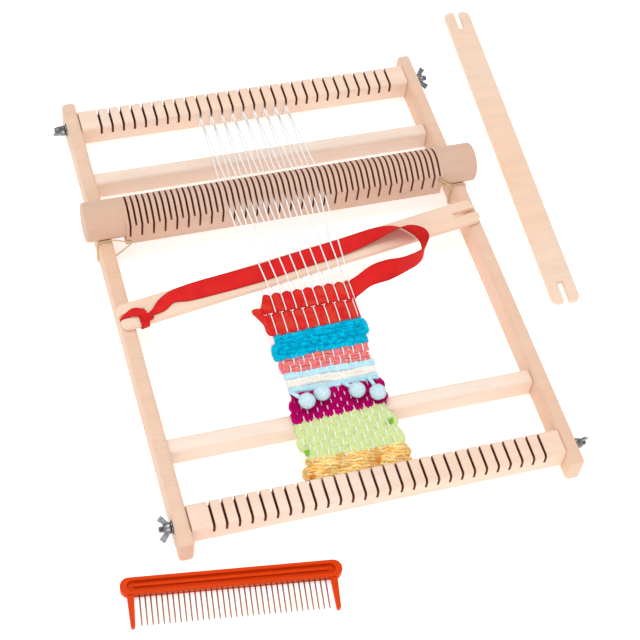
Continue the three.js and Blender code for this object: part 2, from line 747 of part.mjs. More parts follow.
function warpRun(k) {
  const aside = threadRadius + threadGap;
  const inset = 1.5;
  const left = selvedgeAt(clothTopY, 1) + inset;
  const right = selvedgeAt(clothTopY, 2) - inset;
  const clothX = left + ((right - left) * k) / (warpRuns - 1);
  const heddleX = heddleSlotX(firstWarpHeddleSlot + k);
  const beamX = beamSlotX(firstWarpBeamSlot + Math.floor(k / 2));
  const highInFront = (firstWarpHeddleSlot + k) % 2 === 1;
  const frontY = heddleY - heddleFlat - 1;
  const backY = heddleY - heddleFlat + heddleSlotRun + 1;
  const highZ = heddleZ + heddleSlotHigh + aside + heddleSlope;
  const crossingZ = highZ - warpSlotDrop;
  const between = (y) => clothX + ((heddleX - clothX) * (y - clothTopY)) / (frontY - clothTopY);
  const points = [[clothX, clothTopY + threadGap, clothTopZ]];
  const overShuttle = shuttleFrontAt(between(shuttleY)) + 1;
  const underFront = shuttleFrontAt(between(shuttleY)) - 1;
  const underBack = shuttleBackAt(between(shuttleY)) + 1;
  const overZ = shuttleTopZ + glueGap + ribbonThickness + aside;
  const underZ = shuttleBottomZ - aside;
  if (highInFront) {
    points.push([between(underFront), underFront, underZ], [between(underBack), underBack, underZ]);
    points.push([heddleX, frontY, highZ], [heddleX, backY, crossingZ]);
  } else {
    points.push([between(overShuttle), overShuttle, overZ]);
    points.push([heddleX, frontY, crossingZ], [heddleX, backY, highZ]);
  }
  const slotZ = slotFloorZ + aside + (k % 2) * warpStackRise;
  points.push([beamX, backBeamY - beamDepth / 2 - 0.5, slotZ]);
  return points;
}

function warpThread() {
  const behind = backBeamY + beamDepth / 2 + threadRadius + threadGap;
  const loopEnd = (k) => {
    const [x, , z] = warpRun(k).at(-1);
    return [x, behind, z];
  };
  const stretches = [[...warpRun(0), loopEnd(0)], [...warpRun(warpRuns - 1), loopEnd(warpRuns - 1)]];
  for (let k = 1; k < warpRuns - 1; k += 2) {
    stretches.push([...warpRun(k), loopEnd(k), loopEnd(k + 1), ...warpRun(k + 1).reverse()]);
  }
  return geometryOf(joined(stretches.map((points) => tube(points, threadRadius, 5))));
}

addPiece("warp_thread", warpThread(), finishes.thread);

// Comb: a flat plastic back with two end teeth, and a strip of steel needles let into its edge
const comb = new THREE.Group();
comb.position.set(combX, combY, 0);
comb.rotation.z = THREE.MathUtils.degToRad(combTurn);
loom.add(comb);
const endToothX = combLength / 2 - endToothInset;
const stripLength = 2 * (endToothX - endToothWidth / 2) - 2;

function combBack() {
  const back = extruded(roundedRectangle(combLength, combWidth, combWidth / 2 - 0.1, 5), combThickness, 0.8);
  const tooth = (side) => {
    const root = -combWidth / 2 + 2;
    const tip = -combWidth / 2 - endToothLength;
    const outline = [
      new THREE.Vector2(endToothWidth / 2, root),
      new THREE.Vector2(-endToothWidth / 2, root),
      ...arc(0, tip + endToothTip / 2, endToothTip / 2, 180, 360, 4),
    ];
    return extruded(outline, endToothThickness, 0.6).translate(side * endToothX, 0, 0);
  };
  const recessWidth = combWidth - 2 * combRim;
  const recessLength = combLength - 4 * combRim;
  const recess = extruded(roundedRectangle(recessLength, recessWidth, recessWidth / 2 - 0.1, 4), 2 * combRecess);
  recess.translate(0, 0, combThickness / 2);
  const slotDepth = needleStripDepth + glueGap;
  const slot = new THREE.BoxGeometry(stripLength, 2 * slotDepth, needleStripThickness + 2 * glueGap);
  slot.translate(0, -combWidth / 2, 0);
  return geometryOf(joined([back, tooth(-1), tooth(1)]).subtract(joined([recess, slot])));
}

function combNeedles() {
  const strip = new THREE.BoxGeometry(stripLength - 2 * glueGap, needleStripDepth, needleStripThickness);
  strip.translate(0, -combWidth / 2 + needleStripDepth / 2, 0);
  const room = combLength - 2 * (endToothInset + needleFromTooth);
  const needleCount = 1 + Math.floor(room / needlePitch);
  const needles = Array.from({ length: needleCount }, (_, i) => {
    const x = (i - (needleCount - 1) / 2) * needlePitch;
    const root = -combWidth / 2 + 1;
    const tip = -combWidth / 2 - needleLength;
    return tube([[x, root, 0], [x, tip, 0]], needleRadius, 4);
  });
  return geometryOf(joined([strip, ...needles]));
}

place(addPiece("comb_back", combBack(), finishes.plastic, comb), 0, 0, combThickness / 2);
place(addPiece("comb_needles", combNeedles(), finishes.steel, comb), 0, 0, combThickness / 2);

export default loom;
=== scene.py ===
"""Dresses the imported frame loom: its beech frame, warp, woven band, shuttles and comb."""
import json
import math
from collections import namedtuple

import bmesh
import bpy
from bpy.props import FloatProperty, FloatVectorProperty, IntProperty, PointerProperty
from mathutils import Matrix, Vector, noise

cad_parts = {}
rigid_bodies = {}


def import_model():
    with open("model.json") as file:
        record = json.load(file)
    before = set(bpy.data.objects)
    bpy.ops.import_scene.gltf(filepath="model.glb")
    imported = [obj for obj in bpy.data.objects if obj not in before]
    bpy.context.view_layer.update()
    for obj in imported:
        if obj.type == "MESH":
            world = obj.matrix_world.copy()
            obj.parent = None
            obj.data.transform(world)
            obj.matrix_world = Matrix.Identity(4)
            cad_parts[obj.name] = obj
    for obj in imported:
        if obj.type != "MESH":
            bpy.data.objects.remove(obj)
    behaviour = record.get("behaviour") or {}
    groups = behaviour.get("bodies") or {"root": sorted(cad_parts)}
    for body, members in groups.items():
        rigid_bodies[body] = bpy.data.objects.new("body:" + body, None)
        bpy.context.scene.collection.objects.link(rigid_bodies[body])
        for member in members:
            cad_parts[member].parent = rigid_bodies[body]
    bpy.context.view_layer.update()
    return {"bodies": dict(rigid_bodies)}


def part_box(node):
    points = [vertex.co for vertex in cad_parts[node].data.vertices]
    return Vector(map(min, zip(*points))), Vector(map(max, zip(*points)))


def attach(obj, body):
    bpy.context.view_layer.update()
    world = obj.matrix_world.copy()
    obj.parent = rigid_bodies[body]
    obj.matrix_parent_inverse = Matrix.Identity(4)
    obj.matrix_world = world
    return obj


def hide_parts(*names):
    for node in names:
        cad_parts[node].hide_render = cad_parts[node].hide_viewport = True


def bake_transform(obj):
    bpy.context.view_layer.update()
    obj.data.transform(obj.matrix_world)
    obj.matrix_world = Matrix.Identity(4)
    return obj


bl_info = {
    "name": "Frame loom",
    "version": (1, 0, 0),
    "blender": (4, 5, 0),
    "location": "3D View > Sidebar > Loom",
    "description": "Makes the pieces of a tabletop frame loom with a striped band in work",
    "category": "Object",
}

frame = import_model()
MM = 0.001
TAU = 2 * math.pi

# Rails and beams, in metres as everywhere here
RAIL_LOW, RAIL_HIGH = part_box("right_side_rail")
RAIL_INNER_X = RAIL_LOW[0]
RAIL_OUTER_X = RAIL_HIGH[0]
RAIL_TOP = RAIL_HIGH[2]
RAIL_ROUND = 0.0035
RAIL_END_ROUND = 0.0024
DOWEL_EASE = 0.0005
FRONT_BEAM_LOW, FRONT_BEAM_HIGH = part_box("front_beam")
BACK_BEAM_LOW, BACK_BEAM_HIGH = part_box("back_beam")
FRONT_BEAM_Y = (FRONT_BEAM_LOW[1] + FRONT_BEAM_HIGH[1]) / 2
BACK_BEAM_Y = (BACK_BEAM_LOW[1] + BACK_BEAM_HIGH[1]) / 2
BEAM_DEPTH = BACK_BEAM_HIGH[1] - BACK_BEAM_LOW[1]
BEAM_HEIGHT = BACK_BEAM_HIGH[2] - BACK_BEAM_LOW[2]
BEAM_Z = RAIL_TOP - BEAM_HEIGHT / 2
BEAM_ROUND = 0.003
BEAM_SLOTS = 28
BEAM_SLOT_PITCH = 0.010
BEAM_SLOT_WIDTH = 0.002
BEAM_SLOT_FLOOR = RAIL_TOP - 0.009
BACK_FACE_Y = BACK_BEAM_Y - BEAM_DEPTH / 2
# How far a rail's cutters and the slots' saw reach from their middles
CUTTER_REACH = 0.03
SAW_REACH = 0.06

# Heddle bar; the cheek is where its round top runs down into the flat front
HEDDLE_LOW, HEDDLE_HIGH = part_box("heddle_bar")
HEDDLE_RADIUS = 0.017
HEDDLE_FLAT = 0.018
HEDDLE_Y = HEDDLE_LOW[1] + HEDDLE_FLAT
HEDDLE_Z = HEDDLE_HIGH[2] - HEDDLE_RADIUS
HEDDLE_HEEL = 0.003
HEDDLE_CHEEK = [(-0.015, 0.0111), (-HEDDLE_FLAT, 0.0086)]
HEDDLE_MIDDLE = 0.282
HEDDLE_SLOTS = 56
HEDDLE_SLOT_PITCH = 0.005
HEDDLE_SLOT_WIDTH = 0.0018
HEDDLE_SLOT_HIGH = 0.008
HEDDLE_SLOT_LOW = 0.006
HEDDLE_SLOT_RUN = 0.035
HEDDLE_SLOPE = (HEDDLE_SLOT_HIGH + HEDDLE_SLOT_LOW) / HEDDLE_SLOT_RUN
JOURNAL_OVERLAP = 0.004
JOURNAL_EASE = 0.002
SADDLE_RADIUS = HEDDLE_RADIUS + 0.0003

# The elastic ties from the heddle bar's heel round the rails
TIE_RADIUS = 0.0006
TIE_Y = HEDDLE_Y - 0.0164
TIE_HOLE_X = HEDDLE_MIDDLE / 2 - 0.003
TIE_HOLE_DEPTH = 0.007
TIE_GROOVE_WIDTH = 0.0024
TIE_GROOVE_DEPTH = 0.0019
TIE_GROOVE_ROUND = 0.0005
# Each tie's side, its hole's height over the bar's axis, and the height at which it leaves the rail inside
TIES = {"left_heddle_tie": (-1, -0.011, 0.004), "right_heddle_tie": (1, 0.0045, 0.020)}

# Bolts, washers and wing nuts
BOLT_START_X, BOLT_TIP_X = (corner[0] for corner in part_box("front_right_bolt"))
BOLT_RADIUS = 0.0025
BOLT_SIDES = 24
BOLT_CHAMFER = 0.0006
THREAD_LENGTH = 0.022
THREAD_STEPS = 8
BORE_RADIUS = BOLT_RADIUS + 0.0004
WASHER_X = RAIL_OUTER_X + 0.0003
WASHER_RADIUS = 0.0056
WASHER_THICKNESS = 0.001
WASHER_EDGE = 0.0002
NUT_X = WASHER_X + 0.0013
NUT_HEIGHT = 0.0056
NUT_FOOT = 0.0047
NUT_HEAD = 0.0039
NUT_EDGE = 0.0004
WING_REACH = 0.011
WING_RISE = 0.0096
WING_THICKNESS = 0.0017
# Each corner's name, side, beam and the turn of its wing nut about the bolt, in degrees
CORNERS = [
    ("front_left", -1, FRONT_BEAM_Y, 44),
    ("front_right", 1, FRONT_BEAM_Y, 9),
    ("back_left", -1, BACK_BEAM_Y, 157),
    ("back_right", 1, BACK_BEAM_Y, 112),
]

# Shuttles: a place is a stick's middle on the table, a turn is about Z
SHUTTLE_THICKNESS = 0.005
SHUTTLE_NOTCH = 0.005
SHUTTLE_NOTCH_DEPTH = 0.022
SHUTTLE_CORNER = 0.006
SHUTTLE_PRONG_TIP = 0.0016
SHUTTLE_RIM = 0.001
SHUTTLE_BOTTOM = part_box("shuttle")[0][2]
SHUTTLE_TOP = SHUTTLE_BOTTOM + SHUTTLE_THICKNESS
SHUTTLE_LENGTH, SHUTTLE_WIDTH = 0.330, 0.0247
SHUTTLE_PLACE, SHUTTLE_TURN = (-0.0012, 0.1442), math.radians(8.6)
SPARE_LENGTH, SPARE_WIDTH = 0.356, 0.0255
SPARE_PLACE, SPARE_TURN = (0.228, 0.252), math.radians(86.8)

# Warp; above the cloth it is drawn wider than it is, as it looks
THREAD_GAP = 0.0003
THREAD_RADIUS = 0.0005
THREAD_SIDES = 8
WARP_RADIUS = THREAD_RADIUS * 1.25
WARP_RUNS = 18
FIRST_BACK_SLOT = 9
FIRST_HEDDLE_SLOT = 17
WARP_SLOT_DROP = 0.0025
WARP_BEND = 0.004
WARP_SPLIT_Y = BACK_FACE_Y - 0.012

# Cloth: its two ends
CLOTH_TOP_Y = 0.119
CLOTH_TOP_Z = 0.026
CLOTH_BOTTOM_Z = 0.021
CLOTH_BOTTOM_Y = FRONT_BEAM_Y + BEAM_DEPTH / 2 + THREAD_GAP
RIBBON_THICKNESS = 0.0008

# Comb
COMB_LENGTH, COMB_WIDTH, COMB_THICKNESS = 0.168, 0.014, 0.006
COMB_PLACE, COMB_TURN = (-0.1292, -0.1141), math.radians(-7.8)
COMB_RIM = 0.0026
COMB_RECESS_DEPTH = 0.0028
COMB_RIDGE_LOW, COMB_RIDGE_HIGH = (-0.0005, COMB_THICKNESS - 0.003), (0.0019, COMB_THICKNESS - 0.0007)
END_TOOTH_X = COMB_LENGTH / 2 - 0.0073
END_TOOTH_WIDTH = 0.0055
END_TOOTH_LENGTH = 0.026
END_TOOTH_TIP = 0.0016
NEEDLES = 35
NEEDLE_PITCH = 0.004125
NEEDLE_LENGTH = 0.025
NEEDLE_RADIUS = 0.0006
NEEDLE_SLOT_X = END_TOOTH_X - END_TOOTH_WIDTH / 2 - 0.001

# Stage: the camera's right, up and back axes, and each light's place, width and power
CAMERA_LENS = 92.57
CAMERA_PLACE = (-0.3292, -0.6447, 1.1204)
CAMERA_AXES = [(0.9554, -0.2787, 0.0978), (0.1722, 0.7947, 0.5820), (-0.2399, -0.5392, 0.8073)]
LIGHTS = {
    "top_light": ((-0.35, 0.45, 1.7), 1.0, 10.0),
    "front_light": ((-0.5, -1.5, 0.75), 1.0, 6.5),
    "side_light": ((1.4, 0.2, 0.8), 0.8, 3.0),
}
LIT_MIDDLE = Vector((0, 0.13, 0))
WORLD_STRENGTH = 0.72
FLOOR_HALF = 3.0


class Wire:
    """An output socket; arithmetic on it adds Math nodes to its tree."""

    def __init__(self, nodes, socket):
        self.nodes = nodes
        self.socket = socket

    def maths(self, operation, *values):
        return self.nodes.add("ShaderNodeMath", {"operation": operation}, dict(enumerate(values)))[0]

    def __add__(self, other):
        return self.maths("ADD", self, other)

    def __radd__(self, other):
        return self.maths("ADD", other, self)

    def __sub__(self, other):
        return self.maths("SUBTRACT", self, other)

    def __rsub__(self, other):
        return self.maths("SUBTRACT", other, self)

    def __mul__(self, other):
        return self.maths("MULTIPLY", self, other)

    def __rmul__(self, other):
        return self.maths("MULTIPLY", other, self)

    def __truediv__(self, other):
        return self.maths("DIVIDE", self, other)

    def __rtruediv__(self, other):
        return self.maths("DIVIDE", other, self)

    def __mod__(self, other):
        return self.maths("FLOORED_MODULO", self, other)

    def __rmod__(self, other):
        return self.maths("FLOORED_MODULO", other, self)

    def __abs__(self):
        return self.maths("ABSOLUTE", self)

    def cos(self):
        return self.maths("COSINE", self)

    def sin(self):
        return self.maths("SINE", self)


class Made:
    """A node that was added; indexing it gives one of its outputs as a Wire."""

    def __init__(self, nodes, node):
        self.nodes = nodes
        self.node = node

    def __getitem__(self, name):
        return Wire(self.nodes, self.node.outputs[name])


class Nodes:
    """A node tree, shader or geometry, with the one method that adds any node to it."""

    def __init__(self, tree):
        self.tree = tree

    def feed(self, socket, value):
        if isinstance(value, Made):
            value = value[0]
        if isinstance(value, Wire):
            self.tree.links.new(value.socket, socket)
        elif socket.type == "RGBA":
            socket.default_value = (*value, 1)
        else:
            socket.default_value = value

    def add(self, kind, settings=None, inputs=None):
        node = self.tree.nodes.new(kind)
        for name, value in (settings or {}).items():
            setattr(node, name, value)
        for name, value in (inputs or {}).items():
            for item in value if isinstance(value, list) else [value]:
                self.feed(node.inputs[name], item)
        return Made(self, node)

    def vector(self, x=0.0, y=0.0, z=0.0):
        return self.add("ShaderNodeCombineXYZ", {}, {0: x, 1: y, 2: z})

    def vector_maths(self, operation, inputs):
        return self.add("ShaderNodeVectorMath", {"operation": operation}, inputs)

    def ring(self, sides, radius):
        sockets = {"Resolution": sides, "Radius": radius}
        return self.add("GeometryNodeCurvePrimitiveCircle", {"mode": "RADIUS"}, sockets)

    def stored(self, geometry, name, value):
        """The geometry with a number kept on its points, for the material."""
        settings = {"data_type": "FLOAT", "domain": "POINT"}
        sockets = {"Geometry": geometry, "Name": name, "Value": value}
        return self.add("GeometryNodeStoreNamedAttribute", settings, sockets)

    def instances(self, points, instance, **sockets):
        sockets.update(Points=points, Instance=instance)
        return self.add("GeometryNodeInstanceOnPoints", {}, sockets)


class Finish(Nodes):
    """A material under construction, with the shader maths that several finishes share."""

    def __init__(self, name, **sockets):
        self.material = bpy.data.materials.new(name)
        self.material.use_nodes = True
        super().__init__(self.material.node_tree)
        self.shader = self.tree.nodes["Principled BSDF"]
        self.set(**sockets)

    def set(self, **sockets):
        for name, value in sockets.items():
            self.feed(self.shader.inputs[name.replace("_", " ")], value)
        return self

    def noise(self, cells, detail=2, roughness=0.5, turn=0.0):
        """Noise with so many cells a metre along X, Y and Z, turned about Z."""
        where = self.add("ShaderNodeTexCoord")["Object"]
        sockets = {"Vector": where, "Rotation": (0, 0, turn), "Scale": cells}
        return self.noise_at(self.add("ShaderNodeMapping", {}, sockets), detail, roughness)

    def noise_at(self, where, detail=2, roughness=0.5):
        sockets = {"Vector": where, "Scale": 1.0, "Detail": detail, "Roughness": roughness}
        return self.add("ShaderNodeTexNoise", {}, sockets)["Fac"]

    def between(self, value, low, high, to_low=0.0, to_high=1.0):
        sockets = {"Value": value, "From Min": low, "From Max": high, "To Min": to_low, "To Max": to_high}
        return self.add("ShaderNodeMapRange", {"clamp": True}, sockets)[0]

    def mix(self, share, first, second):
        settings = {"data_type": "RGBA", "clamp_factor": True}
        return self.add("ShaderNodeMix", settings, {0: share, 6: first, 7: second})[2]

    def attribute(self, name):
        return self.add("ShaderNodeAttribute", {"attribute_name": name})["Fac"]

    def bump(self, height, distance, strength):
        sockets = {"Height": height, "Distance": distance, "Strength": strength}
        return self.set(Normal=self.add("ShaderNodeBump", {}, sockets))


def linear(colour):
    """A colour given 0 to 255 a channel, as the shader's linear values."""
    shares = [channel / 255 for channel in colour]
    return tuple(c / 12.92 if c <= 0.04045 else ((c + 0.055) / 1.055) ** 2.4 for c in shares)


def tone(colour, factor):
    return tuple(min(1.0, channel * factor) for channel in colour)


def tinted(colour, *factors):
    return tuple(channel * factor for channel, factor in zip(colour, factors))


def picked(name, description, *colour):
    """A colour setting, with its default as 0 to 255 a channel."""
    return FloatVectorProperty(name=name, description=description, subtype="COLOR", default=linear(colour))


# Settings that a user would change


class LoomWood(bpy.types.PropertyGroup):
    """How the beech looks."""

    rails: picked("Rails", "Colour of the side rails", 229, 195, 171)
    crossbars: picked("Crossbars", "Colour of the crossbars", 243, 222, 206)
    beams: picked("Beams", "Colour of the slotted beams", 241, 214, 195)
    heddle: picked("Heddle bar", "Colour of the heddle bar", 213, 180, 160)
    sticks: picked("Shuttles", "Colour of the shuttles", 238, 209, 187)
    # The slot colour is partly scorch and partly painted shade deep in the narrow slots.
    sawn: picked("Slots", "Colour of the scorched wood in the sawn slots", 112, 60, 38)
    ease: FloatProperty(
        name="Edge ease", description="Rounding of sawn edges", unit="LENGTH", default=0.0003
    )
    flecks: FloatProperty(
        name="Flecks", description="Strength of the fine dark flecks", subtype="FACTOR", default=0.35
    )


class LoomYarns(bpy.types.PropertyGroup):
    """Colours of the threads and yarns."""

    warp: picked("Warp", "Colour of the warp thread", 240, 241, 243)
    ribbon: picked("Ribbon", "Colour of the ribbon", 219, 29, 29)
    blue: picked("Blue", "Colour of the fluffy yarn", 0, 198, 238)
    coral: picked("Coral", "First colour of the twisted yarn", 244, 134, 112)
    pink: picked("Pink", "Second colour of the twisted yarn", 238, 130, 152)
    sky: picked("Light blue", "Colour of the soft cord", 186, 228, 243)
    cream: picked("Cream", "Colour of the pale row", 246, 240, 228)
    magenta: picked("Magenta", "Colour of the fine yarn", 202, 0, 112)
    green: picked("Green", "Colour of the flat yarn", 204, 218, 152)
    orange: picked("Orange", "Colour of the last rows", 246, 184, 96)
    pompoms: picked("Pompoms", "Colour of the pompoms", 206, 230, 241)
    fibres: IntProperty(
        name="Fibres", description="Loose fibres on a square centimetre of fluffy yarn", default=70
    )


class LoomFittings(bpy.types.PropertyGroup):
    """Metal and plastic."""

    zinc: picked("Zinc", "Colour of the wing nuts and bolts", 126, 129, 133)
    plastic: picked("Plastic", "Colour of the comb's back", 216, 63, 6)
    # The needles' brown-orange default is a painted reflection of the comb's orange back.
    steel: picked("Steel", "Colour of the comb's needles", 180, 124, 94)
    thread_pitch: FloatProperty(
        name="Thread pitch", description="From turn to turn of the bolts", unit="LENGTH", default=0.0008
    )


# Finishes


def beech(name, colour, grain_turn=0.0, sawn=0.0):
    """Pale beech, its grain along X turned about Z by grain_turn; sawn is the tone of its slots, if any,
    which are darkened partly for scorch and partly as painted shade deep in the slots.
    """
    wood = bpy.context.scene.loom_wood
    finish = Finish(name, Specular_IOR_Level=0.3)
    figure = finish.noise((14, 110, 110), 4, 0.55, -grain_turn)
    pores = finish.noise((60, 1500, 1500), 2, 0.6, -grain_turn)
    flecks = finish.between(finish.noise((420, 2300, 2300), 1, 0.5, -grain_turn), 0.68, 0.74)
    cloudy = finish.noise((6, 14, 14))
    light = finish.mix(finish.between(figure, 0.3, 0.7), tone(colour, 0.94), tone(colour, 1.04))
    warm = finish.mix(finish.between(cloudy, 0.42, 0.66) * 0.5, light, tinted(colour, 0.97, 0.86, 0.74))
    lined = finish.mix(finish.between(pores, 0.52, 0.66) * 0.2, warm, tone(colour, 0.74))
    flecked = finish.mix(flecks * wood.flecks, lined, tinted(colour, 0.55, 0.42, 0.32))
    if sawn:
        # Slot faces darkened towards the slot colour: partly scorch, partly painted shade.
        flecked = finish.mix(finish.attribute("sawn") * 0.94, flecked, tone(wood.sawn, sawn))
    finish.set(Base_Color=flecked, Roughness=finish.between(figure, 0.3, 0.7, 0.5, 0.62))
    return finish.bump(pores * 0.6 + figure * 0.4, 0.00006, 0.5).material


def zinc_plate(name):
    """Zinc plating: a bright metal with scratches from the tumbling barrel; faint lighter and darker blotches
    in its colour are painted reflection, and its roughness varies with them.
    """
    colour = bpy.context.scene.loom_fittings.zinc
    finish = Finish(name, Metallic=1.0)
    reflection_patches = finish.noise((420, 420, 420), 3)
    scratch = finish.noise((2500, 300, 900))
    # Painted reflection: darker and lighter blotches of zinc colour stand in for the metal's reflections.
    patchy = finish.mix(finish.between(reflection_patches, 0.35, 0.65), tone(colour, 0.8), tone(colour, 1.4))
    finish.set(Base_Color=patchy, Roughness=finish.between(reflection_patches, 0.3, 0.7, 0.2, 0.34))
    return finish.bump(scratch, 0.00003, 0.35).material


def steel_wire(name):
    """Drawn steel wire, tinted brown-orange as a painted reflection of the comb's orange back."""
    colour = bpy.context.scene.loom_fittings.steel
    finish = Finish(name, Metallic=0.6, Roughness=0.4)
    drawn = finish.noise((3000, 260, 3000))
    return finish.set(Base_Color=finish.mix(drawn, tone(colour, 0.75), tone(colour, 1.2))).material


def moulded_plastic(name):
    """Glossy moulded plastic with a faint ripple."""
    colour = bpy.context.scene.loom_fittings.plastic
    finish = Finish(name, Specular_IOR_Level=0.05)
    flow = finish.noise((90, 160, 160), 3)
    finish.set(Base_Color=finish.mix(flow, tone(colour, 0.93), tone(colour, 1.06)))
    finish.set(Roughness=finish.between(flow, 0.3, 0.7, 0.26, 0.36))
    return finish.bump(flow, 0.00008, 0.3).material


def spun(name, colours, plies=2, pitch=0.003, depth=0.0001, shade=0.8, drift_cells=60, sheen=0.0):
    """Spun thread or yarn: its plies wind round the piece's length with painted shade in the grooves between
    them, and its dye drifts between colours.
    """
    finish = Finish(name, Roughness=0.9, Specular_IOR_Level=0.08, Sheen_Weight=sheen, Sheen_Roughness=0.5)
    along, around, strand = (finish.attribute(label) for label in ("along", "around", "strand"))
    wind = ((around * plies + along / pitch) * TAU).sin()
    drift = finish.between(finish.noise_at(finish.vector(along * drift_cells, strand * 9)), 0.4, 0.6)
    fibre = finish.noise((2600, 2600, 2600))
    mottle = finish.noise((420, 420, 420))
    dyed = finish.mix(drift, colours[0], colours[-1])
    # Painted shade: the grooves between the plies are darkened towards shade times the first colour.
    shaded = finish.mix(finish.between(wind, -1, 0.2), tone(colours[0], shade), dyed)
    mottled = finish.mix(finish.between(mottle, 0.4, 0.65) * 0.35, shaded, tone(colours[-1], 1.3))
    speckled = finish.mix(finish.between(fibre, 0.5, 0.75) * 0.3, mottled, tone(colours[0], 0.8))
    finish.set(Base_Color=speckled)
    return finish.bump(wind * 0.5 + fibre + mottle, depth, 0.6).material


def woven_ribbon(name, colour, patchy):
    """Soft ribbon: fine cross ribs between two firm edges, with painted shade darkening both edges, and more
    orange-brown in random patches away from them.
    """
    finish = Finish(name, Roughness=0.7, Specular_IOR_Level=0.15)
    where = finish.add("ShaderNodeUVMap", {"uv_map": "UVMap"})
    parts = finish.add("ShaderNodeSeparateXYZ", {}, {0: where})
    across, along = parts[0], parts[1]
    ribs = (along * (TAU / 0.0007)).sin()
    edge = finish.between(abs(across - 0.5), 0.40, 0.49)
    # Random orange-brown patches away from the edges.
    orange_patches = finish.between(finish.noise((110, 110, 60)), 0.5 - patchy * 0.1, 0.66 - patchy * 0.06)
    cloud = finish.between(finish.noise((60, 60, 60), 3), 0.35, 0.65)
    body = finish.mix(cloud, tone(colour, 0.88), tone(colour, 1.08))
    orange_patched = finish.mix(orange_patches * (1 - edge) * patchy, body, linear((216, 74, 46)))
    ribbed = finish.mix(finish.between(ribs, -1, 1) * 0.5, orange_patched, tone(colour, 0.84))
    # Painted shade: both edges darkened towards a deeper red.
    finish.set(Base_Color=finish.mix(edge * 0.5, ribbed, tone(colour, 0.55)))
    return finish.bump(ribs * 0.5 + edge * 2, 0.00008, 0.5).material


def matt_floor(name):
    """White paper, lit through so that the shadows on it all but vanish."""
    finish = Finish(name, Roughness=0.9, Emission_Color=(1, 1, 1), Emission_Strength=0.42)
    soft = finish.noise((3, 3, 3))
    return finish.set(Base_Color=finish.mix(soft, (0.93, 0.93, 0.93), (0.96, 0.96, 0.96))).material


# Routes and outlines


def mm(values):
    return tuple(value * MM for value in values)


def clamped(value):
    return min(max(value, 0.0), 1.0)


def spaced(start, stop, count):
    return [start + (stop - start) * i / count for i in range(count + 1)]


def standing(x, y, z, turn):
    """The place of a piece that lies at a point, turned about Z."""
    return Matrix.Translation((x, y, z)) @ Matrix.Rotation(turn, 4, "Z")


def arc(cx, cy, radius, start, stop, steps):
    turns = (math.radians(degrees) for degrees in spaced(start, stop, steps))
    return [(cx + radius * math.cos(t), cy + radius * math.sin(t)) for t in turns]


def circle(cx, cy, radius, steps):
    return arc(cx, cy, radius, 0, 360, steps)[1:]


def rounded_rectangle(width, height, radius, steps):
    x, y = width / 2 - radius, height / 2 - radius
    corners = [(x, y, 0), (-x, y, 90), (-x, -y, 180), (x, -y, 270)]
    return [point for cx, cy, start in corners for point in arc(cx, cy, radius, start, start + 90, steps)]


def softened(points, reach, steps=4):
    """The same route with each corner turned into a short curve."""
    path = [Vector(p) for p in points]
    route = [path[0]]
    for before, corner, after in zip(path, path[1:], path[2:]):
        first = corner + (before - corner).normalized() * min(reach, (before - corner).length / 2.2)
        last = corner + (after - corner).normalized() * min(reach, (after - corner).length / 2.2)
        for t in spaced(0, 1, steps):
            route.append(first * (1 - t) ** 2 + corner * 2 * t * (1 - t) + last * t * t)
    return route + [path[-1]]


def divided(points, step):
    """The same route with its long straights divided, so that it can bend there."""
    route = [points[0]]
    for before, after in zip(points, points[1:]):
        count = max(1, math.ceil((after - before).length / step))
        route += [before.lerp(after, i / count) for i in range(1, count + 1)]
    return route


def weighed(first, last, low, high, at):
    return first * ((high - at) / (high - low)) + last * ((at - low) / (high - low))


def through(points, count):
    """Points spaced by parameter on the centripetal curve through the given ones."""
    path = [Vector(p) for p in points]
    path = [path[0] * 2 - path[1], *path, path[-1] * 2 - path[-2]]
    spans = len(path) - 3
    route = []
    for n in range(count + 1):
        at = min(n / count * spans, spans - 1e-9)
        i, t = int(at), at - int(at)
        p = path[i : i + 4]
        knots = [0.0]
        for before, after in zip(p, p[1:]):
            knots.append(knots[-1] + max((after - before).length ** 0.5, 1e-6))
        u = knots[1] + t * (knots[2] - knots[1])
        first = [weighed(p[k], p[k + 1], knots[k], knots[k + 1], u) for k in range(3)]
        second = [weighed(first[k], first[k + 1], knots[k], knots[k + 2], u) for k in range(2)]
        route.append(weighed(*second, knots[1], knots[2], u))
    return route


# Mesh making


def new_piece(name, mesh, material):
    piece = bpy.data.objects.new(name, mesh)
    bpy.context.scene.collection.objects.link(piece)
    if material is not None:
        mesh.materials.clear()
        mesh.materials.append(material)
    smoothed(mesh)
    return piece


def smoothed(mesh):
    mesh.polygons.foreach_set("use_smooth", [True] * len(mesh.polygons))


def from_parts(name, points, faces, material):
    mesh = bpy.data.meshes.new(name)
    mesh.from_pydata([tuple(p) for p in points], [], faces)
    mesh.update()
    return new_piece(name, mesh, material)


def from_bmesh(name, shape, material):
    bmesh.ops.recalc_face_normals(shape, faces=shape.faces)
    mesh = bpy.data.meshes.new(name)
    shape.to_mesh(mesh)
    shape.free()
    return new_piece(name, mesh, material)


def evaluated_mesh(piece):
    bpy.context.view_layer.update()
    live = piece.evaluated_get(bpy.context.evaluated_depsgraph_get())
    return bpy.data.meshes.new_from_object(live)


def frozen(piece):
    """Turns a piece's modifiers into plain mesh."""
    mesh = evaluated_mesh(piece)
    materials = list(piece.data.materials)
    piece.modifiers.clear()
    piece.data = mesh
    if materials:
        mesh.materials.clear()
        mesh.materials.append(materials[0])
    return piece


def removed(piece):
    bpy.data.objects.remove(piece, do_unlink=True)


def joined(name, pieces, material):
    """One piece from several, with their points and attributes kept."""
    shape = bmesh.new()
    for piece in pieces:
        shape.from_mesh(piece.data)
    for piece in pieces:
        removed(piece)
    mesh = bpy.data.meshes.new(name)
    shape.to_mesh(mesh)
    shape.free()
    return new_piece(name, mesh, material)


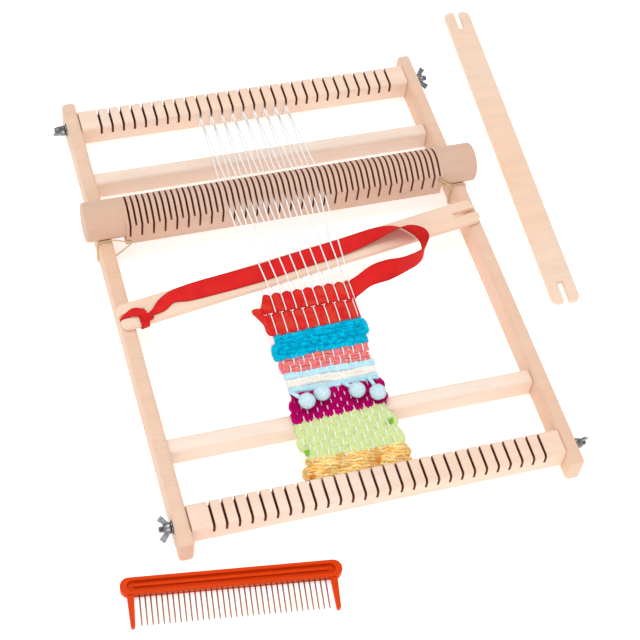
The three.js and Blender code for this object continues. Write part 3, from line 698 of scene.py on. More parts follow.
def carved(piece, cutter, operation="DIFFERENCE"):
    """Cuts one piece out of another, or joins it on, and removes it."""
    change = piece.modifiers.new("carve", "BOOLEAN")
    change.operation = operation
    change.solver = "EXACT"
    change.object = cutter
    frozen(piece)
    removed(cutter)
    return piece


def eased(piece, width, segments=2, angle=38):
    """Rounds the sharp edges and keeps the flat faces flat."""
    bevel = piece.modifiers.new("ease", "BEVEL")
    bevel.width = width
    bevel.segments = segments
    bevel.limit_method = "ANGLE"
    bevel.angle_limit = math.radians(angle)
    bevel.harden_normals = True
    smoothed(piece.data)
    return frozen(piece)


def bevelled(shape, edges, width, segments):
    bmesh.ops.bevel(shape, geom=edges, offset=width, segments=segments, profile=0.5, affect="EDGES")


def prism(name, outline, low, high, material, axis="Z"):
    """An outline run between two distances along an axis, drawn in the two axes that follow it."""
    count = len(outline)
    shift = {"Z": 0, "X": 1, "Y": 2}[axis]
    points = [(a, b, level) for level in (low, high) for a, b in outline]
    points = [p[3 - shift :] + p[: 3 - shift] for p in points]
    faces = [list(range(count))[::-1], list(range(count, 2 * count))]
    faces += [[i, (i + 1) % count, count + (i + 1) % count, count + i] for i in range(count)]
    return from_parts(name, points, faces, material)


def rounded_box(name, low, high, radius, material, ends=0.0):
    """A bar with rounded long edges, and rounded ends where ends is given."""
    size = [high[i] - low[i] for i in range(3)]
    longest = size.index(max(size))
    shape = bmesh.new()
    bmesh.ops.create_cube(shape, size=1)
    for vert in shape.verts:
        vert.co = Vector(low[i] + (vert.co[i] + 0.5) * size[i] for i in range(3))

    def is_long(edge):
        return abs((edge.verts[0].co - edge.verts[1].co)[longest]) > 1e-6

    bevelled(shape, [e for e in shape.edges if is_long(e)], radius, 6)
    if ends:
        bevelled(shape, [e for e in shape.edges if not is_long(e)], ends, 4)
    return from_bmesh(name, shape, material)


def lathe(name, profile, steps, material, placed):
    """A profile of distances from Z and heights, turned about Z; it starts and ends on the axis or closes."""
    points, rings, faces = [], [], []
    for radius, height in profile:
        if radius < 1e-9:
            rings.append([len(points)] * steps)
            points.append(Vector((0, 0, height)))
        else:
            rings.append(list(range(len(points), len(points) + steps)))
            turns = [TAU * k / steps for k in range(steps)]
            points += [Vector((radius * math.cos(t), radius * math.sin(t), height)) for t in turns]
    for lower, upper in zip(rings, rings[1:]):
        for k in range(steps):
            corner = [lower[k], lower[(k + 1) % steps], upper[(k + 1) % steps], upper[k]]
            unique = list(dict.fromkeys(corner))
            if len(unique) > 2:
                faces.append(unique)
    shape = bmesh.new()
    verts = [shape.verts.new(placed @ p) for p in points]
    for face in faces:
        shape.faces.new([verts[i] for i in face])
    bmesh.ops.remove_doubles(shape, verts=shape.verts, dist=1e-7)
    return from_bmesh(name, shape, material)


def tube_faces(first, rings, sides):
    """The faces between rings of points, counted from the first point, and one at each end."""
    faces = []
    for i in range(rings - 1):
        for k in range(sides):
            a, b = first + i * sides + k, first + i * sides + (k + 1) % sides
            faces.append([a, b, b + sides, a + sides])
    last = first + (rings - 1) * sides
    return faces + [[first + k for k in range(sides)][::-1], [last + k for k in range(sides)]]


def tube(name, paths, radius, sides, material):
    """Round tubes along routes, with their length and turn kept for the material."""
    points, faces, along, around, strand = [], [], [], [], []
    for number, path in enumerate(paths):
        path = [Vector(p) for p in path]
        faces += tube_faces(len(points), len(path), sides)
        run, across = 0.0, None
        for i, point in enumerate(path):
            before, after = path[max(i - 1, 0)], path[min(i + 1, len(path) - 1)]
            heading = (after - before).normalized()
            if across is None:
                across = heading.orthogonal().normalized()
            across = (across - heading * across.dot(heading)).normalized()
            up = heading.cross(across)
            run += (point - before).length
            for k in range(sides):
                turn = TAU * k / sides
                points.append(point + across * radius * math.cos(turn) + up * radius * math.sin(turn))
                along.append(run)
                around.append(k / sides)
                strand.append(number / 10)
    piece = from_parts(name, points, faces, material)
    for label, values in (("along", along), ("around", around), ("strand", strand)):
        piece.data.attributes.new(label, "FLOAT", "POINT").data.foreach_set("value", values)
    return piece


def curve_piece(name, routes):
    curve = bpy.data.curves.new(name, "CURVE")
    curve.dimensions = "3D"
    for route in routes:
        spline = curve.splines.new("POLY")
        spline.points.add(len(route) - 1)
        for point, place in zip(spline.points, route):
            point.co = (*place, 1)
    piece = bpy.data.objects.new(name, curve)
    bpy.context.scene.collection.objects.link(piece)
    return piece


# Geometry node trees


def geometry_tree(name, **kinds):
    """A geometry tree with its named inputs; gives the tree's maker and its inputs by name."""
    tree = bpy.data.node_groups.new(name, "GeometryNodeTree")
    for label, kind in {"Geometry": "Geometry", **kinds, "Material": "Material"}.items():
        socket_type = f"NodeSocket{kind}"
        tree.interface.new_socket(name=label.replace("_", " "), in_out="INPUT", socket_type=socket_type)
    tree.interface.new_socket(name="Geometry", in_out="OUTPUT", socket_type="NodeSocketGeometry")
    nodes = Nodes(tree)
    return nodes, nodes.add("NodeGroupInput")


def finish_tree(nodes, given, geometry):
    """Realizes the instances, sets the material and ends the tree."""
    real = nodes.add("GeometryNodeRealizeInstances", {}, {0: geometry})
    coated = nodes.add("GeometryNodeSetMaterial", {}, {"Geometry": real, "Material": given["Material"]})
    nodes.add("NodeGroupOutput", {}, {0: coated})
    return nodes.tree


def grown(piece, tree, **inputs):
    """Runs a geometry tree on a piece and keeps the result as plain mesh."""
    change = piece.modifiers.new(tree.name, "NODES")
    change.node_group = tree
    for item in tree.interface.items_tree:
        label = item.name.replace(" ", "_")
        if item.in_out == "INPUT" and label in inputs:
            change[item.identifier] = inputs[label]
    mesh = evaluated_mesh(piece)
    name = piece.name
    removed(piece)
    mesh.name = name
    return new_piece(name, mesh, inputs["Material"])


def row_tree(name, saws):
    """Stands an object in a row, leaning one way and the other in turn, and saws with it or sets it in."""
    kinds = dict(Tool="Object", Count="Int", Pitch="Float", Middle="Vector", Lean="Float")
    nodes, given = geometry_tree(name, **kinds)
    index = nodes.add("GeometryNodeInputIndex")[0]
    line = nodes.add("GeometryNodeMeshLine", {}, {"Count": given["Count"]})
    x = (index - (given["Count"] - 1) * 0.5) * given["Pitch"]
    place = nodes.vector_maths("ADD", {0: nodes.vector(x), 1: given["Middle"]})
    row = nodes.add("GeometryNodeSetPosition", {}, {"Geometry": line, "Position": place})
    tool = nodes.add("GeometryNodeObjectInfo", {"transform_space": "ORIGINAL"}, {"Object": given["Tool"]})
    turn = nodes.vector(given["Lean"] * (1 - 2 * (index % 2)))
    stood = nodes.instances(row, tool["Geometry"], Rotation=turn)
    if saws:
        real = nodes.add("GeometryNodeRealizeInstances", {}, {0: stood})
        settings = {"operation": "DIFFERENCE", "solver": "EXACT"}
        whole = nodes.add("GeometryNodeMeshBoolean", settings, {0: given["Geometry"], 1: real})
    else:
        whole = nodes.add("GeometryNodeJoinGeometry", {}, {0: [given["Geometry"], stood]})
    return finish_tree(nodes, given, whole)


def with_fibres(nodes, given, skin, hair, lean, smallest):
    """The skin with loose fibres on it, each leaning its own way and of its own size."""
    seed = given["Seed"]
    sockets = {"Mesh": skin, "Density": given["Fibres"], "Seed": seed}
    spots = nodes.add("GeometryNodeDistributePointsOnFaces", {"distribute_method": "RANDOM"}, sockets)
    sockets = {0: (-lean, -lean, -3.1), 1: (lean, lean, 3.1), 8: seed}
    tilt = nodes.add("FunctionNodeRandomValue", {"data_type": "FLOAT_VECTOR"}, sockets)
    sockets = {0: spots["Rotation"], 1: tilt}
    leaning = nodes.add("FunctionNodeRotateRotation", {"rotation_space": "LOCAL"}, sockets)
    size = nodes.add("FunctionNodeRandomValue", {"data_type": "FLOAT"}, {2: smallest, 3: 1.1, 8: seed})[1]
    sockets = {"Curve": hair, "Profile Curve": nodes.ring(3, given["Fibre Radius"])}
    fibre = nodes.add("GeometryNodeCurveToMesh", {}, sockets)
    fibres = nodes.instances(spots["Points"], fibre, Rotation=leaning, Scale=size)
    return nodes.add("GeometryNodeJoinGeometry", {}, {0: [skin, fibres]})


def yarn_tree():
    """Winds strands round a route and covers them with straight loose fibres."""
    nodes, given = geometry_tree(
        "Wound yarn", Strands="Int", Twist="Float", Spread="Float", Rise="Float", Strand_Radius="Float",
        Flatness="Float", Sides="Int", Step="Float", Ripple="Float", Fibres="Float", Fibre_Length="Float",
        Fibre_Radius="Float", Seed="Int",
    )
    sockets = {"Curve": given["Geometry"], "Length": given["Step"]}
    route = nodes.add("GeometryNodeResampleCurve", {"mode": "LENGTH"}, sockets)
    sockets = {"Geometry": route, "Amount": given["Strands"]}
    copies = nodes.add("GeometryNodeDuplicateElements", {"domain": "SPLINE"}, sockets)
    number = copies["Duplicate Index"]
    run = nodes.add("GeometryNodeSplineParameter")["Length"]
    flat = nodes.vector_maths("CROSS_PRODUCT", {0: (0, 0, 1), 1: nodes.add("GeometryNodeInputTangent")})
    side = nodes.vector_maths("NORMALIZE", {0: flat})
    share = number / given["Strands"]
    sockets = {"Vector": nodes.vector(run * 90, number * 3.7 + given["Seed"]), "Scale": 1.0, "Detail": 1.0}
    wander = nodes.add("ShaderNodeTexNoise", {"noise_dimensions": "3D"}, sockets)["Fac"] - 0.5
    turn = (run / given["Twist"] + share + wander * 0.5) * TAU
    out = turn.cos() * given["Spread"] + wander * given["Ripple"]
    up = turn.sin() * given["Rise"] + wander * given["Ripple"] * 0.6
    sideways = nodes.vector_maths("SCALE", {0: side, "Scale": out})
    shift = nodes.vector_maths("ADD", {0: sideways, 1: nodes.vector(z=up)})
    moved = nodes.add("GeometryNodeSetPosition", {}, {"Geometry": copies, "Offset": shift})
    numbered = nodes.stored(nodes.stored(moved, "along", run), "strand", share)
    around = nodes.add("GeometryNodeSplineParameter")["Factor"]
    ring = nodes.stored(nodes.ring(given["Sides"], given["Strand Radius"]), "around", around)
    sockets = {"Geometry": ring, "Scale": nodes.vector(1.0, given["Flatness"], 1.0)}
    ring_flat = nodes.add("GeometryNodeTransform", {}, sockets)
    level = nodes.add("GeometryNodeSetCurveNormal", {"mode": "Z_UP"}, {0: numbered})
    sockets = {"Curve": level, "Profile Curve": ring_flat, "Fill Caps": True}
    skin = nodes.add("GeometryNodeCurveToMesh", {}, sockets)
    length = given["Fibre Length"]
    sockets = {"Start": (0, 0, 0), "End": nodes.vector(length * 0.15, 0.0, length)}
    hair = nodes.add("GeometryNodeCurvePrimitiveLine", {"mode": "POINTS"}, sockets)
    return finish_tree(nodes, given, with_fibres(nodes, given, skin, hair, 1.1, 0.45))


def fluff_tree():
    """Covers a ball with short bent fibres that stand out from it."""
    nodes, given = geometry_tree(
        "Fluff", Fibres="Float", Fibre_Length="Float", Fibre_Radius="Float", Seed="Int"
    )
    length = given["Fibre Length"]
    bend, end = nodes.vector(length * 0.3, 0.0, length * 0.5), nodes.vector(length * 0.1, 0.0, length)
    sockets = {"Resolution": 3, "Start": (0, 0, 0), "Middle": bend, "End": end}
    hair = nodes.add("GeometryNodeCurveQuadraticBezier", {}, sockets)
    return finish_tree(nodes, given, with_fibres(nodes, given, given["Geometry"], hair, 0.6, 0.5))


def finished(piece, body, slot, *replaced):
    """The closing calls on a piece: what it rides on and the nodes it stands for; slot, its material slot, is
    not used.
    """
    if body:
        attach(piece, body)
    if replaced:
        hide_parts(*replaced)
    return piece


def sawn_bar(bar, count, pitch, width, middle, lean, floor_steps, material):
    """Saws a row of round-bottomed slots, and marks their faces, which the material darkens partly for scorch
    from the saw and partly as painted shade deep in the slots.
    """
    half = width / 2
    outline = [(half, SAW_REACH), (-half, SAW_REACH), *arc(0, half, half, 180, 360, floor_steps)]
    cutter = prism("slot_cutter", [(b, a) for a, b in outline][::-1], -SAW_REACH, SAW_REACH, None, "Y")
    sawn = grown(
        bar, row_tree("Saw slots", True), Tool=cutter, Count=count, Pitch=pitch, Middle=middle, Lean=lean,
        Material=material,
    )
    removed(cutter)
    eased(sawn, bpy.context.scene.loom_wood.ease)
    # The marked slot faces are darkened by the material: partly scorch, partly painted shade.
    marks = []
    for face in sawn.data.polygons:
        x = face.center.x
        aside = abs((x / pitch) % 1 - 0.5) * pitch
        marks.append(float(aside < half + 0.00004 and abs(x) < count * pitch / 2))
    sawn.data.attributes.new("sawn", "FLOAT", "FACE").data.foreach_set("value", marks)
    return sawn


# The cloth's selvedges, the rows of weft in it and the warp's way through them

# Each line: a place along the loom, and the left and the right selvedge there
SELVEDGES = [
    (0.119, -0.0444, 0.0305),
    (0.102, -0.0422, 0.0290),
    (0.082, -0.0450, 0.0295),
    (0.0575, -0.0477, 0.0305),
    (0.041, -0.0482, 0.0294),
    (0.0215, -0.0484, 0.0281),
    (-0.004, -0.0503, 0.0279),
    (-0.0395, -0.0538, 0.0303),
    (-0.057, -0.0583, 0.0341),
]
# How far a band's edge is beaten aslant: its place, and its shift at the left and at the right selvedge
SLANTS = [
    (0.119, 0.0, 0.0),
    (0.1005, 0.0, 0.0),
    (0.082, -0.0046, -0.001),
    (0.0575, -0.0018, 0.0006),
    (0.041, 0.001, 0.0),
    (0.0215, 0.0, 0.0),
    (-0.004, 0.0, 0.003),
    (-0.0395, 0.002, 0.0),
    (-0.060, 0.0, 0.0),
]
ABOVE_THE_ORANGE = 0.1585
ORANGE_ROW = (CLOTH_TOP_Y - ABOVE_THE_ORANGE - CLOTH_BOTTOM_Y) / 3
# Each band: the heights of its rows, the warp's lift over them, the weft's wave and how far inside the
# selvedge the middle of its yarn turns
Band = namedtuple("Band", "heights lift wave inset")
BANDS = {
    "ribbon": Band([0.0185] * 2, 0.0011, 0.0014, None),
    "blue": Band([0.0245 / 3] * 3, 0.0009, 0.0005, 0.0026),
    "coral": Band([0.00825] * 2, 0.0024, 0.0005, 0.0027),
    "sky": Band([0.0055, 0.0082, 0.0058], 0.0009, 0.0003, 0.0012),
    "magenta": Band([0.0051] * 5, 0.0011, 0.0004, 0.0016),
    "green": Band([0.0071] * 5, 0.0027, 0.0003, 0.0032),
    "orange": Band([ORANGE_ROW] * 3, 0.0002, 0.0005, 0.0026),
}
BLUE_OVERHANG = 0.0022
YARN_STEP = 0.0011
WARP_INSET = 0.0032
WARP_STEP = 0.0008
RIBBON_WARP_LEFT = -0.0423
RIBBON_WARP_PITCH = 0.00456
Row = namedtuple("Row", "band number middle height")


def weft_rows():
    """Every row of weft from the shuttle down."""
    rows, top = [], CLOTH_TOP_Y
    for band, look in BANDS.items():
        for height in look.heights:
            rows.append(Row(band, len(rows), top - height / 2, height))
            top -= height
    return rows


ROWS = weft_rows()


def table_share(table, y):
    """The two lines of a table that y lies between, and its share of the way from one to the other."""
    for high, low in zip(table, table[1:]):
        if y >= low[0] or low is table[-1]:
            return low, high, (y - low[0]) / (high[0] - low[0])


def selvedges(y):
    """The left and the right selvedge at y."""
    low, high, share = table_share(SELVEDGES, y)
    return (low[i] + share * (high[i] - low[i]) for i in (1, 2))


def cloth_z(y):
    share = (y - CLOTH_BOTTOM_Y) / (CLOTH_TOP_Y - CLOTH_BOTTOM_Y)
    return CLOTH_BOTTOM_Z + share * (CLOTH_TOP_Z - CLOTH_BOTTOM_Z)


def warp_x(k, y):
    """Where a warp thread crosses y: evenly spread, but wider in the ribbon, which crowds the last two."""
    left, right = selvedges(y)
    left, right = left + WARP_INSET, right - WARP_INSET
    even = left + (right - left) * k / (WARP_RUNS - 1)
    crowded = RIBBON_WARP_LEFT + RIBBON_WARP_PITCH * min(k, WARP_RUNS - 3)
    crowded += RIBBON_WARP_PITCH * 0.5 * max(0, k - (WARP_RUNS - 3))
    return even + (crowded - even) * clamped((y - 0.070) / 0.014)


def warp_number(x, y):
    """The warp thread that lies at x, as a number that is whole at each thread."""
    for k in range(WARP_RUNS):
        low, high = warp_x(k, y), warp_x(k + 1, y)
        if x < high or k == WARP_RUNS - 1:
            return k + (x - low) / (high - low)


def beaten(point):
    """Shifts a point of the cloth to where its row was beaten, which is aslant in places."""
    x, y, z = point
    left_x, right_x = selvedges(y)
    low, high, part = table_share(SLANTS, y)
    left, right = (low[i] + clamped(part) * (high[i] - low[i]) for i in (1, 2))
    return Vector((x, y + left + (right - left) * clamped((x - left_x) / (right_x - left_x)), z))


def row_coordinate(y):
    """The row that y lies in, as a number that is whole at its middle, and that row's lift of the warp."""
    lifts = [BANDS[row.band].lift for row in ROWS]
    if y >= ROWS[0].middle:
        return (ROWS[0].middle - y) / ROWS[0].height, lifts[0]
    for i, (upper, lower) in enumerate(zip(ROWS, ROWS[1:])):
        if y >= lower.middle:
            share = (upper.middle - y) / (upper.middle - lower.middle)
            return i + share, lifts[i] + share * (lifts[i + 1] - lifts[i])
    return len(ROWS) - 1 + (ROWS[-1].middle - y) / ROWS[-1].height, lifts[-1]


def warp_in_cloth(k):
    """One warp thread through the cloth, over and under the rows in turn."""
    path, y = [], CLOTH_TOP_Y + THREAD_GAP
    below_ribbon = ROWS[2].middle
    while y > CLOTH_BOTTOM_Y:
        row, lift = row_coordinate(y)
        wave = -math.cos(math.pi * (k + row))
        wave = math.copysign(abs(wave) ** 0.4, wave)
        if y < below_ribbon and k in (0, WARP_RUNS - 1):
            wave *= 0.3
        path.append(beaten((warp_x(k, y), y, cloth_z(y) + lift * wave)))
        y -= WARP_STEP
    path.append(Vector((warp_x(k, CLOTH_BOTTOM_Y), CLOTH_BOTTOM_Y, CLOTH_BOTTOM_Z)))
    return path


def weft_routes(band):
    """A route for each row of a band, from the side where its yarn comes in."""
    look, routes = BANDS[band], []
    out = BLUE_OVERHANG if band == "blue" else 0.0
    for _, number, middle, _ in (row for row in ROWS if row.band == band):
        left, right = selvedges(middle)
        ends = [left - out + look.inset, right + out / 2 - look.inset]
        start, stop = ends if number % 2 == 0 else ends[::-1]
        route = []
        for x in spaced(start, stop, 90):
            wave = math.cos(math.pi * (warp_number(x, middle) + number)) * look.wave
            sway = 0.0004 * math.sin(x * 130 + number * 2.1)
            route.append(beaten((x, middle + sway, cloth_z(middle) + wave)))
        routes.append(route)
    return routes


def follow_beam(piece):
    """Bakes the piece's transform into its mesh."""
    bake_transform(piece)


# The light blue cord's ends that the pompoms hang on, and the knots in the green and the orange yarn, in mm
STEMS = [
    [(-47.0, 24.0, 25.5), (-45.8, 20.8, 27.5), (-42.0, 14.5, 29.5)],
    [(-19.0, 25.0, 25.5), (-20.6, 22.0, 27.5), (-22.5, 17.5, 29.5)],
    [(-3.0, 23.0, 25.5), (-1.6, 19.6, 27.5), (2.0, 14.5, 29.5)],
    [(17.5, 24.0, 25.5), (18.4, 20.6, 27.5), (20.0, 12.5, 29.5)],
]
KNOTS = {"green": [(24.2, -19.3), (-49.1, -32.6)], "orange": [(-50.7, -54.0), (4.1, -51.5)]}
# The knots' darker, deeper tones than their yarns are painted shade of the tight knots.
SHADED_KNOT_COLOURS = {"green": linear((132, 196, 62)), "orange": linear((226, 140, 52))}


def knotted(x, y):
    """The route of a small overhand knot lying on the cloth."""
    route, size = [], 0.0006
    for turn in spaced(0, TAU, 48):
        a = math.sin(turn) + 2 * math.sin(2 * turn)
        b = math.cos(turn) - 2 * math.cos(2 * turn)
        route.append((x + a * size, y + b * size, cloth_z(y) + 0.0026 - math.sin(3 * turn) * 0.0008))
    return route


# Operators


class LOOM_OT_stage(bpy.types.Operator):
    """Adds the pale floor, the soft studio light and the camera"""

    bl_idname = "loom.stage"
    bl_label = "Stage"

    def execute(self, context):
        scene = context.scene
        lens = bpy.data.cameras.new("camera")
        lens.sensor_width = 36
        lens.lens = CAMERA_LENS
        camera = bpy.data.objects.new("camera", lens)
        turn = Matrix(CAMERA_AXES).transposed().to_4x4()
        camera.matrix_world = Matrix.Translation(CAMERA_PLACE) @ turn
        scene.collection.objects.link(camera)
        scene.camera = camera
        corners = [(x * FLOOR_HALF, y * FLOOR_HALF, 0) for x, y in ((-1, -1), (1, -1), (1, 1), (-1, 1))]
        from_parts("floor", corners, [[0, 1, 2, 3]], matt_floor("pale_floor"))
        for name, (place, size, power) in LIGHTS.items():
            light = bpy.data.lights.new(name, "AREA")
            light.shape = "DISK"
            light.size = size
            light.energy = power
            lamp = bpy.data.objects.new(name, light)
            aim = (LIT_MIDDLE - Vector(place)).to_track_quat("-Z", "Y").to_matrix().to_4x4()
            lamp.matrix_world = Matrix.Translation(place) @ aim
            scene.collection.objects.link(lamp)
        scene.world = bpy.data.worlds.new("soft_white")
        scene.world.use_nodes = True
        background = scene.world.node_tree.nodes["Background"]
        background.inputs["Color"].default_value = (1, 1, 1, 1)
        background.inputs["Strength"].default_value = WORLD_STRENGTH
        scene.view_settings.view_transform = "Standard"
        return {"FINISHED"}


class LOOM_OT_rails(bpy.types.Operator):
    """Makes the two side rails with the saddles that the heddle bar turns in"""

    bl_idname = "loom.rails"
    bl_label = "Side rails"

    def execute(self, context):
        wood = context.scene.loom_wood
        material = beech("beech_rails", wood.rails, math.pi / 2)
        for node in ("left_side_rail", "right_side_rail"):
            low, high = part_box(node)
            rail = rounded_box(node + "_wood", low, high, RAIL_ROUND, material, RAIL_END_ROUND)
            middle = (low[0] + high[0]) / 2
            start, stop = middle - CUTTER_REACH, middle + CUTTER_REACH
            saddle = circle(HEDDLE_Y, HEDDLE_Z, SADDLE_RADIUS, 72)
            carved(rail, prism("saddle", saddle, start, stop, None, "X"))
            groove_low = (start, TIE_Y - TIE_GROOVE_WIDTH / 2, -0.002)
            groove_high = (stop, TIE_Y + TIE_GROOVE_WIDTH / 2, TIE_GROOVE_DEPTH)
            carved(rail, rounded_box("groove", groove_low, groove_high, TIE_GROOVE_ROUND, None))
            for y in (FRONT_BEAM_Y, BACK_BEAM_Y):
                carved(rail, prism("hole", circle(y, BEAM_Z, BORE_RADIUS, 28), start, stop, None, "X"))
            eased(rail, wood.ease)
            finished(rail, "frame", "beech", node)
        return {"FINISHED"}


class LOOM_OT_crossbars(bpy.types.Operator):
    """Makes the two crossbars and finishes their dowels"""

    bl_idname = "loom.crossbars"
    bl_label = "Crossbars"

    def execute(self, context):
        wood = context.scene.loom_wood
        material = beech("beech_crossbars", wood.crossbars)
        peg = beech("beech_dowels", wood.sticks)
        for node in ("front_crossbar", "back_crossbar"):
            bar = rounded_box(node + "_wood", *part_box(node), RAIL_ROUND, material)
            finished(eased(bar, wood.ease), "frame", "beech", node)
            for side in ("left", "right"):
                dowel = f"{node}_{side}_dowel"
                low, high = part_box(dowel)
                y, z, radius = (low[1] + high[1]) / 2, (low[2] + high[2]) / 2, (high[2] - low[2]) / 2
                pin = prism(dowel + "_pin", circle(y, z, radius, 32), low[0], high[0], peg, "X")
                finished(eased(pin, DOWEL_EASE), "frame", "pale_beech", dowel)
        return {"FINISHED"}


class LOOM_OT_beams(bpy.types.Operator):
    """Makes the front and back beams and saws the warp slots into their tops"""

    bl_idname = "loom.beams"
    bl_label = "Beams"

    def execute(self, context):
        # The slots are darkened partly for scorch and partly as painted shade.
        material = beech("beech_beams", context.scene.loom_wood.beams, sawn=1.5)
        for node, y in (("front_beam", FRONT_BEAM_Y), ("back_beam", BACK_BEAM_Y)):
            bar = rounded_box(node + "_wood", *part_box(node), BEAM_ROUND, material)
            middle = (0, y, BEAM_SLOT_FLOOR)
            sawn = sawn_bar(bar, BEAM_SLOTS, BEAM_SLOT_PITCH, BEAM_SLOT_WIDTH, middle, 0.0, 8, material)
            finished(sawn, node, "beech", node)
        return {"FINISHED"}


class LOOM_OT_heddle(bpy.types.Operator):
    """Makes the heddle bar: round journals, a flat-fronted middle and two sets of slanted slots"""

    bl_idname = "loom.heddle"
    bl_label = "Heddle bar"

    def execute(self, context):
        # The slots are darkened partly for scorch and partly as painted shade.
        material = beech("beech_heddle", context.scene.loom_wood.heddle, sawn=1.6)
        heel_y, heel_z = -HEDDLE_FLAT + HEDDLE_HEEL, -HEDDLE_RADIUS + HEDDLE_HEEL
        section = [
            *arc(0, 0, HEDDLE_RADIUS, -90, 120, 60),
            *HEDDLE_CHEEK,
            *arc(heel_y, heel_z, HEDDLE_HEEL, 180, 270, 6),
        ]
        section = [(y + HEDDLE_Y, z + HEDDLE_Z) for y, z in section]
        half = HEDDLE_MIDDLE / 2
        bar = prism("heddle_bar_wood", section, -half, half, material, "X")
        for side in (-1, 1):
            ends = sorted((side * HEDDLE_HIGH[0], side * (half - JOURNAL_OVERLAP)))
            journal = prism("journal", circle(HEDDLE_Y, HEDDLE_Z, HEDDLE_RADIUS, 96), *ends, material, "X")
            eased(journal, JOURNAL_EASE, 5, 60)
            carved(bar, journal, "UNION")
        front = HEDDLE_LOW[1]
        for side, rise, _ in TIES.values():
            mouth = circle(HEDDLE_Z + rise, side * TIE_HOLE_X, 2 * TIE_RADIUS, 16)
            carved(bar, prism("hole", mouth, front - 0.005, front + TIE_HOLE_DEPTH, None, "Y"))
        middle_y = HEDDLE_Y - HEDDLE_FLAT + HEDDLE_SLOT_RUN / 2
        middle = (0, middle_y, HEDDLE_Z + (HEDDLE_SLOT_HIGH - HEDDLE_SLOT_LOW) / 2)
        lean = math.atan(HEDDLE_SLOPE)
        sawn = sawn_bar(bar, HEDDLE_SLOTS, HEDDLE_SLOT_PITCH, HEDDLE_SLOT_WIDTH, middle, lean, 6, material)
        finished(sawn, "heddle_bar", "beech", "heddle_bar")
        return {"FINISHED"}


class LOOM_OT_fittings(bpy.types.Operator):
    """Makes the bolts, washers and wing nuts at the ends of the beams"""

    bl_idname = "loom.fittings"
    bl_label = "Bolts and wing nuts"

    def bolt(self, name, placed, pitch, material):
        """A bolt along Z: a plain shank and a cut thread with a chamfered tip."""
        start, stop = BOLT_START_X, BOLT_TIP_X
        thread_start = stop - THREAD_LENGTH
        count = int(THREAD_LENGTH / pitch * THREAD_STEPS)
        rings = [start, start + 0.002, thread_start - 0.001, *spaced(thread_start, stop, count)]
        points = []
        for z in rings:
            for k in range(BOLT_SIDES):
                turn = TAU * k / BOLT_SIDES
                radius = BOLT_RADIUS
                if z >= thread_start:
                    wave = 0.5 + 0.5 * math.cos(TAU * (z - thread_start) / pitch - turn)
                    radius -= pitch * 0.5 * (1 - wave) * min(1, (z - thread_start) / pitch)
                radius = min(radius, BOLT_RADIUS - BOLT_CHAMFER + max(0.0, stop - z))
                radius = min(radius, BOLT_RADIUS * 0.6 + (z - start))
                points.append(placed @ Vector((radius * math.cos(turn), radius * math.sin(turn), z)))
        return from_parts(name, points, tube_faces(0, len(rings), BOLT_SIDES), material)

    def washer(self, name, placed, material):
        bore, radius, edge, top = BORE_RADIUS, WASHER_RADIUS, WASHER_EDGE, WASHER_THICKNESS
        profile = [
            (bore, 0), (radius - edge, 0), (radius, edge),
            (radius, top - edge), (radius - edge, top), (bore, top), (bore, 0),
        ]
        return eased(lathe(name, profile, 64, material, placed), edge / 2)

    def wing_nut(self, name, placed, material):
        """A wing nut along Z: a coned hub, a bore and two curved wings with rounded edges."""
        bore, foot, head, edge = BORE_RADIUS, NUT_FOOT, NUT_HEAD, NUT_EDGE
        profile = [
            (bore, 0.0003), (bore + 0.0003, 0), (foot - edge, 0), (foot, edge), (foot, 0.0012),
            (head + 0.0001, NUT_HEIGHT - edge), (head - 0.0003, NUT_HEIGHT), (bore + edge, NUT_HEIGHT),
            (bore, NUT_HEIGHT - edge), (bore, 0.0003),
        ]
        parts = [lathe("hub", profile, 48, material, placed)]
        root, heel, head_z = bore + 0.0006, 0.0007, NUT_HEIGHT - 0.0006
        outline = [
            (root, heel), (foot - 0.0006, heel), (WING_REACH, WING_RISE * 0.63),
            (WING_REACH * 0.68, WING_RISE), (head - 0.0006, head_z), (root, head_z),
        ]
        for side in (0, math.pi):
            wing = prism("wing", outline, -WING_THICKNESS / 2, WING_THICKNESS / 2, material)
            eased(wing, 0.0004, 3, 30)
            upright = Matrix.Rotation(side, 4, "Z") @ Matrix.Rotation(math.pi / 2, 4, "X")
            wing.data.transform(placed @ upright)
            parts.append(wing)
        return joined(name, parts, material)

    def execute(self, context):
        material = zinc_plate("zinc_plating")
        pitch = context.scene.loom_fittings.thread_pitch
        for corner, side, y, wing_turn in CORNERS:
            placed = Matrix.Translation((0, y, BEAM_Z)) @ Matrix.Rotation(side * math.pi / 2, 4, "Y")
            bolt = self.bolt(corner + "_bolt_thread", placed, pitch, material)
            finished(bolt, corner.split("_")[0] + "_beam", "zinc", corner + "_bolt")
            lifted = placed @ Matrix.Translation((0, 0, WASHER_X))
            washer = self.washer(corner + "_washer_ring", lifted, material)
            finished(washer, "frame", "zinc", corner + "_washer")
            turned = Matrix.Rotation(math.radians(wing_turn), 4, "Z")
            lifted = placed @ Matrix.Translation((0, 0, NUT_X)) @ turned
            nut = self.wing_nut(corner + "_wing_nut_cast", lifted, material)
            body = next(name for name in frame["bodies"] if name.startswith(corner))
            finished(nut, body, "zinc", corner + "_wing_nut")
        return {"FINISHED"}


